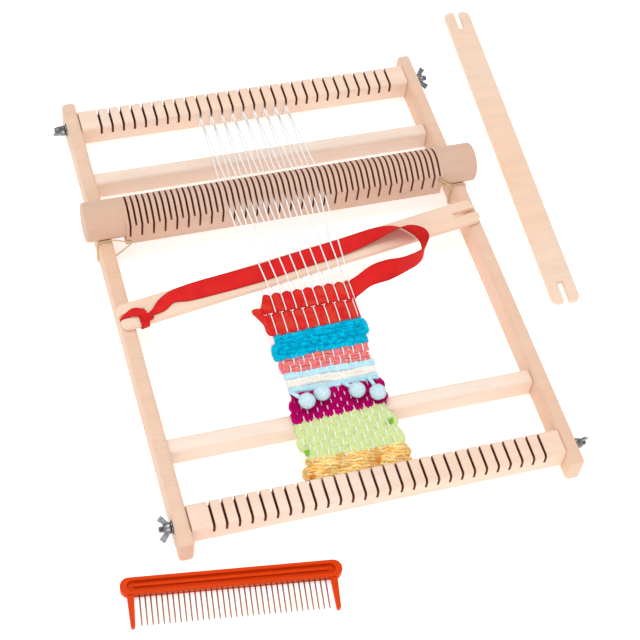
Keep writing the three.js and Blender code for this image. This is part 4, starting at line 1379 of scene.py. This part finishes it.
class LOOM_OT_shuttles(bpy.types.Operator):
    """Makes the two stick shuttles with their notched ends"""

    bl_idname = "loom.shuttles"
    bl_label = "Shuttles"

    def stick(self, name, length, width, place, turn, bottom, material):
        x, y, notch = length / 2, width / 2, SHUTTLE_NOTCH / 2
        corner, tip = SHUTTLE_CORNER, SHUTTLE_PRONG_TIP
        lower = [
            *arc(x - corner, -y + corner, corner, -90, 0, 12),
            *arc(x - tip, -notch - tip, tip, 0, 90, 6),
            (x - SHUTTLE_NOTCH_DEPTH, -notch),
        ]
        half = lower + [(a, -b) for a, b in reversed(lower)]
        outline = half + [(-a, -b) for a, b in half]
        piece = prism(name, outline, 0, SHUTTLE_THICKNESS, material)
        shape = bmesh.new()
        shape.from_mesh(piece.data)
        rims = [e for e in shape.edges if abs(e.verts[0].co.z - e.verts[1].co.z) < 1e-7]
        bevelled(shape, rims, SHUTTLE_RIM, 4)
        shape.to_mesh(piece.data)
        shape.free()
        eased(piece, 0.0002, 1, 50)
        piece.data.transform(standing(*place, bottom, turn))
        return piece

    def execute(self, context):
        colour = context.scene.loom_wood.sticks
        for node, length, width, place, turn, bottom in (
            ("shuttle", SHUTTLE_LENGTH, SHUTTLE_WIDTH, SHUTTLE_PLACE, SHUTTLE_TURN, SHUTTLE_BOTTOM),
            ("spare_shuttle", SPARE_LENGTH, SPARE_WIDTH, SPARE_PLACE, SPARE_TURN, 0),
        ):
            material = beech("beech_" + node, colour, turn)
            piece = self.stick(node + "_stick", length, width, place, turn, bottom, material)
            finished(piece, node, "pale_beech", node)
        return {"FINISHED"}


def shuttle_front(x):
    """How far back the shuttle's front edge lies at x."""
    slope, half = math.tan(SHUTTLE_TURN), SHUTTLE_WIDTH / 2 / math.cos(SHUTTLE_TURN)
    return SHUTTLE_PLACE[1] + (x - SHUTTLE_PLACE[0]) * slope - half


def slot_x(slot):
    """The middle of one of a beam's slots, counted from the left."""
    return (slot - (BEAM_SLOTS - 1) / 2) * BEAM_SLOT_PITCH


def warp_run(k):
    """One warp thread from the cloth to the back beam's slot, and where it lies inside the heddle."""
    aside, past = THREAD_RADIUS + THREAD_GAP, 0.001
    cloth_x = warp_x(k, CLOTH_TOP_Y)
    heddle_x = (FIRST_HEDDLE_SLOT + k - (HEDDLE_SLOTS - 1) / 2) * HEDDLE_SLOT_PITCH
    front_y = HEDDLE_Y - HEDDLE_FLAT - past
    back_y = front_y + HEDDLE_SLOT_RUN + 2 * past
    high_z = HEDDLE_Z + HEDDLE_SLOT_HIGH + aside + HEDDLE_SLOPE * past
    crossing_z = high_z - WARP_SLOT_DROP

    def between(y):
        return cloth_x + (heddle_x - cloth_x) * (y - CLOTH_TOP_Y) / (front_y - CLOTH_TOP_Y)

    front = shuttle_front(between(SHUTTLE_PLACE[1]))
    points = [warp_in_cloth(k)[0]]
    if (FIRST_HEDDLE_SLOT + k) % 2:
        under = SHUTTLE_BOTTOM - aside
        back = front + SHUTTLE_WIDTH / math.cos(SHUTTLE_TURN)
        points += [(between(y), y, under) for y in (front - past, back + past)]
        lips = [(heddle_x, front_y, high_z), (heddle_x, back_y, crossing_z)]
    else:
        over = SHUTTLE_TOP + THREAD_GAP + RIBBON_THICKNESS + aside
        points.append((between(front + past), front + past, over))
        lips = [(heddle_x, front_y, crossing_z), (heddle_x, back_y, high_z)]
    slot_z = BEAM_SLOT_FLOOR + aside + (k % 2) * 0.0007
    beam_point = (slot_x(FIRST_BACK_SLOT + k // 2), BACK_FACE_Y - 0.0005, slot_z)
    return [Vector(p) for p in points], [Vector(p) for p in lips], Vector(beam_point)


class LOOM_OT_warp(bpy.types.Operator):
    """Strings the warp through the cloth, the heddle bar and the beams"""

    bl_idname = "loom.warp"
    bl_label = "Warp"

    def round_the_back_beam(self, tails):
        """The turns behind the back beam from slot to slot, and the wraps down its front face."""
        bend = 0.0008
        loops = [softened(tails[0], bend), softened(tails[-1], bend)]
        loops += [softened(tails[k] + tails[k + 1][::-1], bend) for k in range(1, WARP_RUNS - 1, 2)]
        aside, bottom = WARP_RADIUS + THREAD_GAP, BEAM_Z - BEAM_HEIGHT / 2
        wrap = [
            (BACK_BEAM_Y, BEAM_SLOT_FLOOR + aside),
            (BACK_FACE_Y - aside, BEAM_SLOT_FLOOR + aside),
            (BACK_FACE_Y - aside, bottom + BEAM_ROUND),
            (BACK_FACE_Y + BEAM_ROUND, bottom - aside),
            (BACK_BEAM_Y, bottom - aside),
        ]
        for slot in range(FIRST_BACK_SLOT, FIRST_BACK_SLOT + WARP_RUNS // 2):
            loops.append(softened([(slot_x(slot) - WARP_RADIUS, y, z) for y, z in wrap], 0.001))
        return loops

    def in_the_front_beam(self, k):
        """A thread's end in its slot: two in each, side by side."""
        x = slot_x(FIRST_BACK_SLOT - 1 + (k + 1) // 2) + (0.0004 if k % 2 else -0.0004)
        z = max(CLOTH_BOTTOM_Z, BEAM_SLOT_FLOOR + THREAD_RADIUS + THREAD_GAP)
        inside = [(x, CLOTH_BOTTOM_Y - 0.0006, z - 0.0005), (x, CLOTH_BOTTOM_Y - 0.009, z - 0.002)]
        return softened([warp_in_cloth(k)[-1], *inside], 0.0006)

    def execute(self, context):
        white = context.scene.loom_yarns.warp
        material = spun("warp_thread", [white, tone(white, 1.1)], 3, 0.0022, 0.00003, 0.94, sheen=0.35)
        behind = BACK_BEAM_Y + BEAM_DEPTH / 2 + THREAD_RADIUS + THREAD_GAP
        front, back, tails = [], [], []
        for k in range(WARP_RUNS):
            ahead, lips, beam_point = warp_run(k)
            middle = (lips[0] + lips[1]) / 2
            split = lips[1].lerp(beam_point, (WARP_SPLIT_Y - lips[1].y) / (beam_point.y - lips[1].y))
            front.append(divided(softened([*ahead, lips[0], middle], WARP_BEND), WARP_BEND))
            back.append(softened([middle, lips[1], split], 0.003))
            tails.append([split, beam_point, Vector((beam_point.x, behind, beam_point.z))])
        piece = tube("warp_in_the_shed", front, WARP_RADIUS, THREAD_SIDES, material)
        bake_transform(piece)
        finished(piece, None, "warp", "warp_thread")
        piece = tube("warp_behind_the_heddle", back, WARP_RADIUS, THREAD_SIDES, material)
        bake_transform(piece)
        finished(piece, None, "warp")
        loops = self.round_the_back_beam(tails)
        piece = tube("warp_round_the_back_beam", loops, WARP_RADIUS, THREAD_SIDES, material)
        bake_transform(piece)
        finished(piece, None, "warp")
        threads = [warp_in_cloth(k) for k in range(WARP_RUNS)]
        piece = tube("warp_in_the_cloth", threads, THREAD_RADIUS, THREAD_SIDES, material)
        follow_beam(piece)
        finished(piece, None, "warp")
        ends = [self.in_the_front_beam(k) for k in range(WARP_RUNS)]
        piece = tube("warp_ends_in_the_front_beam", ends, THREAD_RADIUS, THREAD_SIDES, material)
        finished(piece, "front_beam", "warp")
        return {"FINISHED"}


# The ribbon's free run, in mm: its far and near edges from the knot over the shuttle, round, to the cloth
RIBBON_EDGES = [
    ((-140.6, 118.2, 33.4), (-139.2, 114.6, 33.2)),
    ((-137.2, 121.2, 32.8), (-135.2, 116.0, 32.6)),
    ((-132.8, 126.8, 32.2), (-130.4, 117.0, 32.6)),
    ((-127.0, 132.0, 32.0), (-125.2, 119.4, 32.0)),
    ((-119.5, 136.4, 32.0), (-118.4, 124.4, 32.2)),
    ((-107.0, 139.6, 32.0), (-106.0, 123.8, 32.0)),
    ((-92.2, 142.2, 32.0), (-92.9, 124.6, 32.0)),
    ((-42.5, 148.1, 32.0), (-43.6, 130.1, 32.0)),
    ((-4, 154.4, 32.0), (-6, 136.6, 32.1)),
    ((34.8, 160.2, 32.0), (32.0, 142.3, 32.8)),
    ((67.9, 165.6, 32.2), (62.2, 149.0, 36)),
    ((85.4, 163.6, 32.4), (81.5, 151.4, 44.5)),
    ((97.4, 152.7, 32.6), (92.1, 150.0, 49)),
    ((101.4, 143.0, 32.0), (103.0, 142.5, 49.9)),
    ((101.5, 136.8, 30), (104.8, 136.2, 47.7)),
    ((101.0, 131.0, 28), (98.6, 128.1, 44.9)),
    ((93.6, 124.0, 27), (90.5, 124.3, 44.6)),
    ((80.6, 118.4, 27), (75.4, 122.0, 43.9)),
    ((65.7, 113.2, 27), (64.0, 125.6, 39.0)),
    ((48.9, 110.5, 27), (51.8, 126.8, 33.0)),
    ((37.5, 104.6, 27.2), (38.6, 121.9, 28.6)),
    ((31.8, 101.2, 27.2), (31.6, 119.2, 27.8)),
]
# The fold between its two rows, at the left selvedge
RIBBON_FOLD = [
    ((-46.6, 112.6, 29.0), (-45.0, 101.4, 25.8)),
    ((-48.2, 109.2, 28.6), (-46.0, 101.0, 26.2)),
    ((-49.6, 107.6, 26.6), (-46.8, 101.0, 25.2)),
    ((-53.4, 107.2, 27.6), (-47.6, 100.9, 26.6)),
    ((-57.2, 106.0, 27.4), (-48.4, 100.6, 26.8)),
    ((-56.6, 103.4, 25.6), (-48.6, 100.2, 26.4)),
    ((-54.2, 99.6, 24.8), (-48.2, 99.6, 27.2)),
    ((-50.8, 92.0, 24.8), (-47.4, 99.4, 27.2)),
    ((-49.6, 82.0, 24.8), (-46.2, 99.6, 26.6)),
]
# The knot's tail over the shuttle's end, measured from the shuttle's middle and its underside
RIBBON_TAIL = [
    ((-143.2, -3.0, 7.6), (-144.0, -8.6, 7.6)),
    ((-146.8, 1.6, 7.0), (-147.8, -6.6, 7.0)),
    ((-151.4, 4.2, 6.2), (-152.0, -4.4, 6.2)),
    ((-156.2, 3.4, 5.6), (-156.6, -3.0, 5.6)),
    ((-160.8, 1.0, 4.6), (-161.0, -2.0, 4.4)),
    ((-164.8, -0.6, 2.0), (-165.0, -1.6, 1.6)),
]


def edges_through(pairs, count):
    """Two edges drawn through pairs of points, as pairs again."""
    return list(zip(*(through([pair[side] for pair in pairs], count) for side in (0, 1))))


def strip(name, stations, material, thickness, crown, ripple):
    """A ribbon between two edges, given by pairs of points, with its width and length kept as its map."""
    across = 10
    points, faces, places = [], [], []
    run, before = 0.0, None
    for i, (far, near) in enumerate(stations):
        middle = (far + near) / 2
        run += (middle - before).length if before else 0.0
        ahead = stations[min(i + 1, len(stations) - 1)]
        behind = stations[max(i - 1, 0)]
        heading = (ahead[0] + ahead[1]) - (behind[0] + behind[1])
        face = heading.cross(near - far).normalized()
        for k in range(across + 1):
            share = k / across
            lift = crown * (1 - (2 * share - 1) ** 2)
            lift += ripple * noise.noise(Vector((run * 60, share * 1.3, 4.0)))
            points.append(far.lerp(near, share) + face * lift)
            places.append((share, run))
        before = middle
    for i in range(len(stations) - 1):
        for k in range(across):
            a = i * (across + 1) + k
            faces.append([a, a + 1, a + across + 2, a + across + 1])
    piece = from_parts(name, points, faces, material)
    layer = piece.data.uv_layers.new(name="UVMap")
    for loop in piece.data.loops:
        layer.data[loop.index].uv = places[loop.vertex_index]
    wall = piece.modifiers.new("thickness", "SOLIDIFY")
    wall.thickness = thickness
    wall.offset = 0
    return piece, run


class LOOM_OT_ribbon(bpy.types.Operator):
    """Lays the ribbon: its knot on the shuttle, its free run and the two rows that it makes in the cloth"""

    bl_idname = "loom.ribbon"
    bl_label = "Ribbon"

    def run(self, material):
        stations = edges_through([(mm(far), mm(near)) for far, near in RIBBON_EDGES], 180)
        piece, length = strip("ribbon_free_run", stations, material, 0.0005, 0.0, 0.0004)
        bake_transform(piece)
        finished(piece, None, "ribbon", "ribbon_run")

    def panel(self, row, x, scallop):
        """The two edges of a row at x; the row bulges between the threads that hold it."""
        loose = (warp_number(x, row.middle) + row.number + 1) / 2 % 1
        puff = math.sin(math.pi * loose) ** 0.5
        z = cloth_z(row.middle) - BANDS["ribbon"].wave * 0.9 + 0.0030 * puff
        high = row.middle + row.height / 2 + scallop * (puff - 0.75)
        low = row.middle - row.height / 2 + 0.0003
        return beaten((x, high, z + 0.0002)), beaten((x, low, z - 0.0002))

    def rows(self, material):
        """The two rows, and the fold between them at the left selvedge."""
        upper = [self.panel(ROWS[0], x, 0.0026) for x in spaced(0.0318, -0.0440, 150)]
        lower = [self.panel(ROWS[1], x, 0.0008)[::-1] for x in spaced(-0.0455, 0.0302, 150)]
        fold = [upper[-1], *[(mm(far), mm(near)) for far, near in RIBBON_FOLD], lower[0]]
        stations = upper[:-1] + edges_through(fold, 80) + lower[1:]
        piece, length = strip("ribbon_rows_folded", stations, material, 0.0006, 0.0, 0.0003)
        finished(piece, "frame", "ribbon", "ribbon_rows")

    def knot(self, material):
        """A ring of ribbon round the front prong, its knot on top and a short tail."""
        prong, loose, half = (SHUTTLE_WIDTH - SHUTTLE_NOTCH) / 2, 0.0016, 0.0034
        x = -SHUTTLE_LENGTH / 2 + SHUTTLE_NOTCH_DEPTH - 0.0045
        y = -(SHUTTLE_NOTCH + prong) / 2
        placed = standing(*SHUTTLE_PLACE, SHUTTLE_BOTTOM, SHUTTLE_TURN)
        loop = rounded_rectangle(prong + loose, SHUTTLE_THICKNESS + loose, 0.0014, 5)
        stations = []
        for i, (a, b) in enumerate([*loop, loop[0]]):
            pull = 0.0005 * math.sin(i * 1.7)
            centre = Vector((x, y + a, SHUTTLE_THICKNESS / 2 + b))
            stations.append([placed @ (centre + Vector((pull + side, 0, 0))) for side in (-half, half)])
        ring, _ = strip("knot_ring", stations, material, 0.0009, 0.0004, 0.0005)
        shape = bmesh.new()
        bmesh.ops.create_icosphere(shape, subdivisions=4, radius=1.0)
        middle = Vector((x + 0.0025, y - 0.0010, SHUTTLE_THICKNESS + loose))
        size = Vector((0.0052, 0.0042, 0.0022))
        for vert in shape.verts:
            crease = noise.noise(vert.co * 1.7 + Vector((3, 1, 5))) * 0.35 + noise.noise(vert.co * 4) * 0.12
            vert.co = placed @ (middle + vert.co * (1 + crease) * size)
        lump = from_bmesh("knot_lump", shape, material)
        lump.data.uv_layers.new(name="UVMap")
        stations = edges_through([(mm(far), mm(near)) for far, near in RIBBON_TAIL], 24)
        stations = [(placed @ far, placed @ near) for far, near in stations]
        tail, _ = strip("knot_tail", stations, material, 0.0006, 0.0007, 0.0008)
        whole = joined("ribbon_knot_tied", [frozen(ring), lump, frozen(tail)], material)
        finished(whole, "shuttle", "ribbon", "ribbon_knot")

    def execute(self, context):
        colour = context.scene.loom_yarns.ribbon
        material = woven_ribbon("red_ribbon", colour, 0.12)
        self.run(material)
        self.rows(woven_ribbon("red_ribbon_stretched", colour, 0.75))
        self.knot(material)
        return {"FINISHED"}


class LOOM_OT_yarns(bpy.types.Operator):
    """Weaves the bands of yarn below the ribbon"""

    bl_idname = "loom.yarns"
    bl_label = "Yarn bands"

    def looks(self, yarns, fluffy):
        """Each yarn's material, and how its strands are wound and how loose its fibres are."""
        blue, magenta, green, orange = yarns.blue, yarns.magenta, yarns.green, yarns.orange
        return {
            "blue": (
                spun("blue_yarn", [blue, tone(blue, 1.3)], 1, 0.03, 0.0004, 0.95, 200),
                dict(Strands=3, Twist=0.12, Spread=0.0024, Rise=0.0004, Strand_Radius=0.0027, Flatness=0.8,
                     Ripple=0.0016, Fibres=fluffy * 3.3, Fibre_Length=0.0019),
            ),
            "coral": (
                spun("coral_yarn", [yarns.coral, yarns.pink], 1, 0.006, 0.0003, 0.86, 160),
                dict(Strands=5, Twist=0.3, Spread=0.0031, Rise=0.0005, Strand_Radius=0.0013, Flatness=0.85,
                     Ripple=0.0022, Fibres=fluffy * 0.5, Fibre_Length=0.0009),
            ),
            "magenta": (
                spun("magenta_yarn", [magenta, tone(magenta, 0.72)], 1, 0.006, 0.0002, 0.88),
                dict(Strands=3, Twist=0.4, Spread=0.0021, Rise=0.0001, Strand_Radius=0.0023, Flatness=0.5,
                     Ripple=0.0005, Fibres=fluffy * 1.4, Fibre_Length=0.0016),
            ),
            "green": (
                spun("green_yarn", [green, tone(green, 1.05)], 1, 0.02, 0.0001, 0.98),
                dict(Strands=4, Twist=2.0, Spread=0.0027, Rise=0.0001, Strand_Radius=0.0027, Flatness=0.36,
                     Ripple=0.0002, Fibres=fluffy * 0.3, Fibre_Length=0.0007),
            ),
            "orange": (
                spun("orange_yarn", [orange, linear((255, 226, 158))], 1, 0.03, 0.0002, 0.7, 90),
                dict(Strands=4, Twist=0.05, Spread=0.0023, Rise=0.0007, Strand_Radius=0.0013, Flatness=1.0,
                     Ripple=0.0008, Fibres=fluffy * 0.1, Fibre_Length=0.0010),
            ),
        }

    def cord(self, yarns, tree, fluffy):
        """The two light blue rows with the pompoms' stems, and the cream row between them."""
        pale = spun("light_blue_cord", [yarns.sky, tone(yarns.sky, 1.05)], 1, 0.02, 0.0002, 0.95)
        milk = spun("cream_cord", [yarns.cream, tone(yarns.cream, 0.97)], 1, 0.02, 0.0002, 0.95)
        first, second, third = weft_routes("sky")
        sizes = dict(
            Strands=3, Twist=0.3, Spread=0.0014, Rise=0.0003, Strand_Radius=0.0020, Flatness=0.8,
            Ripple=0.0010, Fibres=fluffy * 0.8, Fibre_Length=0.0010, Fibre_Radius=0.00007, Sides=14,
            Step=YARN_STEP,
        )
        outer = grown(curve_piece("light_blue_rows", [first, third]), tree, Seed=21, Material=pale, **sizes)
        stems = tube("stems", [through([mm(p) for p in stem], 12) for stem in STEMS], 0.0016, 12, pale)
        outer = joined("light_blue_rows", [outer, stems], pale)
        finished(outer, "frame", "sky_yarn", "sky_band")
        sizes.update(Spread=0.0024, Strand_Radius=0.0021)
        inner = grown(curve_piece("cream_row", [second]), tree, Seed=22, Material=milk, **sizes)
        finished(inner, "frame", "sky_yarn")

    def execute(self, context):
        yarns = context.scene.loom_yarns
        fluffy = yarns.fibres * 1e4
        tree = yarn_tree()
        for number, (band, (material, sizes)) in enumerate(self.looks(yarns, fluffy).items()):
            route = curve_piece(band + "_yarn_rows", [sum(weft_routes(band), [])])
            sizes.update(Sides=10, Step=YARN_STEP, Fibre_Radius=0.0001, Seed=number + 3, Material=material)
            piece = grown(route, tree, **sizes)
            if band == "orange":
                follow_beam(piece)
            finished(piece, None if band == "orange" else "frame", band + "_yarn", band + "_band")
        self.cord(yarns, tree, fluffy)
        for band, places in KNOTS.items():
            material = spun(band + "_knot", [SHADED_KNOT_COLOURS[band]])
            tied = tube(band + "_knots", [knotted(*mm(place)) for place in places], 0.0008, 8, material)
            if band == "orange":
                follow_beam(tied)
            finished(tied, None if band == "orange" else "frame", band + "_yarn")
        return {"FINISHED"}


class LOOM_OT_pompoms(bpy.types.Operator):
    """Hangs the four pompoms on the light blue cord"""

    bl_idname = "loom.pompoms"
    bl_label = "Pompoms"

    def execute(self, context):
        colour = context.scene.loom_yarns.pompoms
        material = spun("pompom_fluff", [colour, tone(colour, 1.05)], 1, 0.02, 0.0002, 0.97)
        tree = fluff_tree()
        for number in range(1, 5):
            node = f"pompom_{number}"
            low, high = (Vector(corner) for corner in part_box(node))
            middle, half = (low + high) / 2, (high - low) / 2
            ball = bmesh.new()
            bmesh.ops.create_icosphere(ball, subdivisions=5, radius=1.0)
            for vert in ball.verts:
                lump = 1 + 0.05 * noise.noise(vert.co * 2.2 + Vector((number, 0, 0)))
                lump += 0.035 * noise.noise(vert.co * 9 + Vector((0, number, 0)))
                vert.co = middle + vert.co * half * lump * 0.95
            piece = grown(
                from_bmesh(node + "_fluff", ball, material), tree, Fibres=3.4e6, Fibre_Length=0.0006,
                Fibre_Radius=0.00007, Seed=number, Material=material,
            )
            finished(piece, "frame", "sky_yarn", node)
        return {"FINISHED"}


class LOOM_OT_ties(bpy.types.Operator):
    """Ties the heddle bar's heel down round the rails"""

    bl_idname = "loom.ties"
    bl_label = "Heddle ties"

    def execute(self, context):
        colours = [linear((214, 190, 140)), linear((226, 206, 160))]
        material = spun("elastic_tie", colours, 6, 0.002, 0.00008, 0.75)
        beside, turn = TIE_RADIUS + THREAD_GAP, 0.003
        out_x, in_x = RAIL_OUTER_X + beside, RAIL_INNER_X - beside
        rail_x = (RAIL_INNER_X + RAIL_OUTER_X) / 2
        over = RAIL_TOP + beside
        front = HEDDLE_Y - HEDDLE_FLAT
        for name, (side, rise, climb) in TIES.items():
            hole_z = HEDDLE_Z + rise
            route = [
                (TIE_HOLE_X, front + 0.006, hole_z),
                (TIE_HOLE_X, front - 0.0015, hole_z),
                (in_x - 0.001, TIE_Y - 0.0007, over),
                (rail_x, TIE_Y, over + 0.0003),
                (out_x - 0.0012, TIE_Y, over - 0.0006),
                (out_x, TIE_Y, RAIL_TOP - turn),
                (out_x, TIE_Y, turn),
                (out_x - 0.0008, TIE_Y, beside),
                (in_x + 0.0008, TIE_Y, beside),
                (in_x, TIE_Y, turn),
                (in_x - 0.0004, TIE_Y - 0.0005, climb),
                (TIE_HOLE_X - 0.0004, front - 0.0017, hole_z - 0.0026),
            ]
            path = softened([(side * x, y, z) for x, y, z in route], 0.002)
            tie = tube(name + "_cord", [path], TIE_RADIUS, 12, material)
            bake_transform(tie)
            finished(tie, None, "elastic", name)
        return {"FINISHED"}


class LOOM_OT_comb(bpy.types.Operator):
    """Makes the weaving comb: a moulded back with two end teeth and a row of needles"""

    bl_idname = "loom.comb"
    bl_label = "Comb"

    def back(self, material):
        """The back with its end teeth, the recess and the ridge on top, and the slot for the needles."""
        outline = rounded_rectangle(COMB_LENGTH, COMB_WIDTH, COMB_WIDTH / 2 - 0.0001, 16)
        back = prism("comb_back_moulded", outline, 0, COMB_THICKNESS, material)
        for side in (-1, 1):
            x, tip = side * END_TOOTH_X, -COMB_WIDTH / 2 - END_TOOTH_LENGTH + END_TOOTH_TIP
            shape = [
                (x + END_TOOTH_WIDTH / 2, -COMB_WIDTH / 2 + 0.002),
                (x - END_TOOTH_WIDTH / 2, -COMB_WIDTH / 2 + 0.002),
                *arc(x, tip, END_TOOTH_TIP, 180, 360, 10),
            ]
            carved(back, prism("tooth", shape, 0.001, 0.005, material), "UNION")
        reach = COMB_LENGTH - 4 * COMB_RIM
        radius = COMB_WIDTH / 2 - COMB_RIM - 0.0001
        inner = rounded_rectangle(reach, COMB_WIDTH - 2 * COMB_RIM, radius, 12)
        floor, above = COMB_THICKNESS - COMB_RECESS_DEPTH, COMB_THICKNESS + 0.01
        carved(back, prism("recess", inner, floor, above, None))
        reach = COMB_LENGTH / 2 - 4 * COMB_RIM
        ridge = rounded_box("ridge", (-reach, *COMB_RIDGE_LOW), (reach, *COMB_RIDGE_HIGH), 0.0007, material)
        carved(back, ridge, "UNION")
        slot = rounded_box(
            "slot", (-NEEDLE_SLOT_X, -COMB_WIDTH / 2 - 0.0035, COMB_THICKNESS / 2 - 0.001),
            (NEEDLE_SLOT_X, -COMB_WIDTH / 2 + 0.0035, COMB_THICKNESS / 2 + 0.001), 0.0002, None,
        )
        carved(back, slot)
        return eased(back, 0.0006, 3, 45)

    def needles(self, material):
        """The strip inside the back and the needles that stand in it."""
        length, radius = NEEDLE_LENGTH, NEEDLE_RADIUS
        profile = [
            (0, -0.001), (radius, -0.001), (radius, length * 0.9), (0.0005, length - 0.0010),
            (0.0003, length - 0.0003), (0, length),
        ]
        root = Matrix.Translation((0, -COMB_WIDTH / 2, COMB_THICKNESS / 2))
        turned = root @ Matrix.Rotation(math.pi / 2, 4, "X")
        needle = lathe("needle", profile, 8, material, turned)
        reach = NEEDLE_SLOT_X - 0.0003
        band = rounded_box(
            "comb_needle_row", (-reach, -COMB_WIDTH / 2, COMB_THICKNESS / 2 - 0.0007),
            (reach, -COMB_WIDTH / 2 + 0.0032, COMB_THICKNESS / 2 + 0.0007), 0.0002, material,
        )
        row = grown(
            band, row_tree("Set needles", False), Tool=needle, Count=NEEDLES, Pitch=NEEDLE_PITCH,
            Middle=(0, 0, 0), Lean=0.0, Material=material,
        )
        removed(needle)
        return row

    def execute(self, context):
        placed = standing(*COMB_PLACE, 0, COMB_TURN)
        back = self.back(moulded_plastic("comb_plastic"))
        back.data.transform(placed)
        finished(back, "comb", "plastic", "comb_back")
        row = self.needles(steel_wire("needle_steel"))
        row.data.transform(placed)
        finished(row, "comb", "needle_steel", "comb_needles")
        return {"FINISHED"}


OPERATORS = [
    LOOM_OT_stage,
    LOOM_OT_warp,
    LOOM_OT_ties,
    LOOM_OT_ribbon,
    LOOM_OT_yarns,
    LOOM_OT_pompoms,
    LOOM_OT_rails,
    LOOM_OT_crossbars,
    LOOM_OT_beams,
    LOOM_OT_heddle,
    LOOM_OT_fittings,
    LOOM_OT_shuttles,
    LOOM_OT_comb,
]
GROUPS = {"loom_wood": LoomWood, "loom_yarns": LoomYarns, "loom_fittings": LoomFittings}


class LOOM_PT_panel(bpy.types.Panel):
    """Lists the loom's settings and pieces in the sidebar"""

    bl_label = "Frame loom"
    bl_idname = "LOOM_PT_panel"
    bl_space_type = "VIEW_3D"
    bl_region_type = "UI"
    bl_category = "Loom"

    def draw(self, context):
        for name, group in GROUPS.items():
            for setting in group.__annotations__:
                self.layout.prop(getattr(context.scene, name), setting)
        for operator in OPERATORS:
            self.layout.operator(operator.bl_idname)


CLASSES = [*GROUPS.values(), *OPERATORS, LOOM_PT_panel]


def register():
    for item in CLASSES:
        bpy.utils.register_class(item)
    for name, group in GROUPS.items():
        setattr(bpy.types.Scene, name, PointerProperty(type=group))


def unregister():
    for name in GROUPS:
        delattr(bpy.types.Scene, name)
    for item in reversed(CLASSES):
        bpy.utils.unregister_class(item)


def main():
    register()
    for operator in OPERATORS:
        group, name = operator.bl_idname.split(".")
        getattr(getattr(bpy.ops, group), name)()


if __name__ == "__main__":
    main()
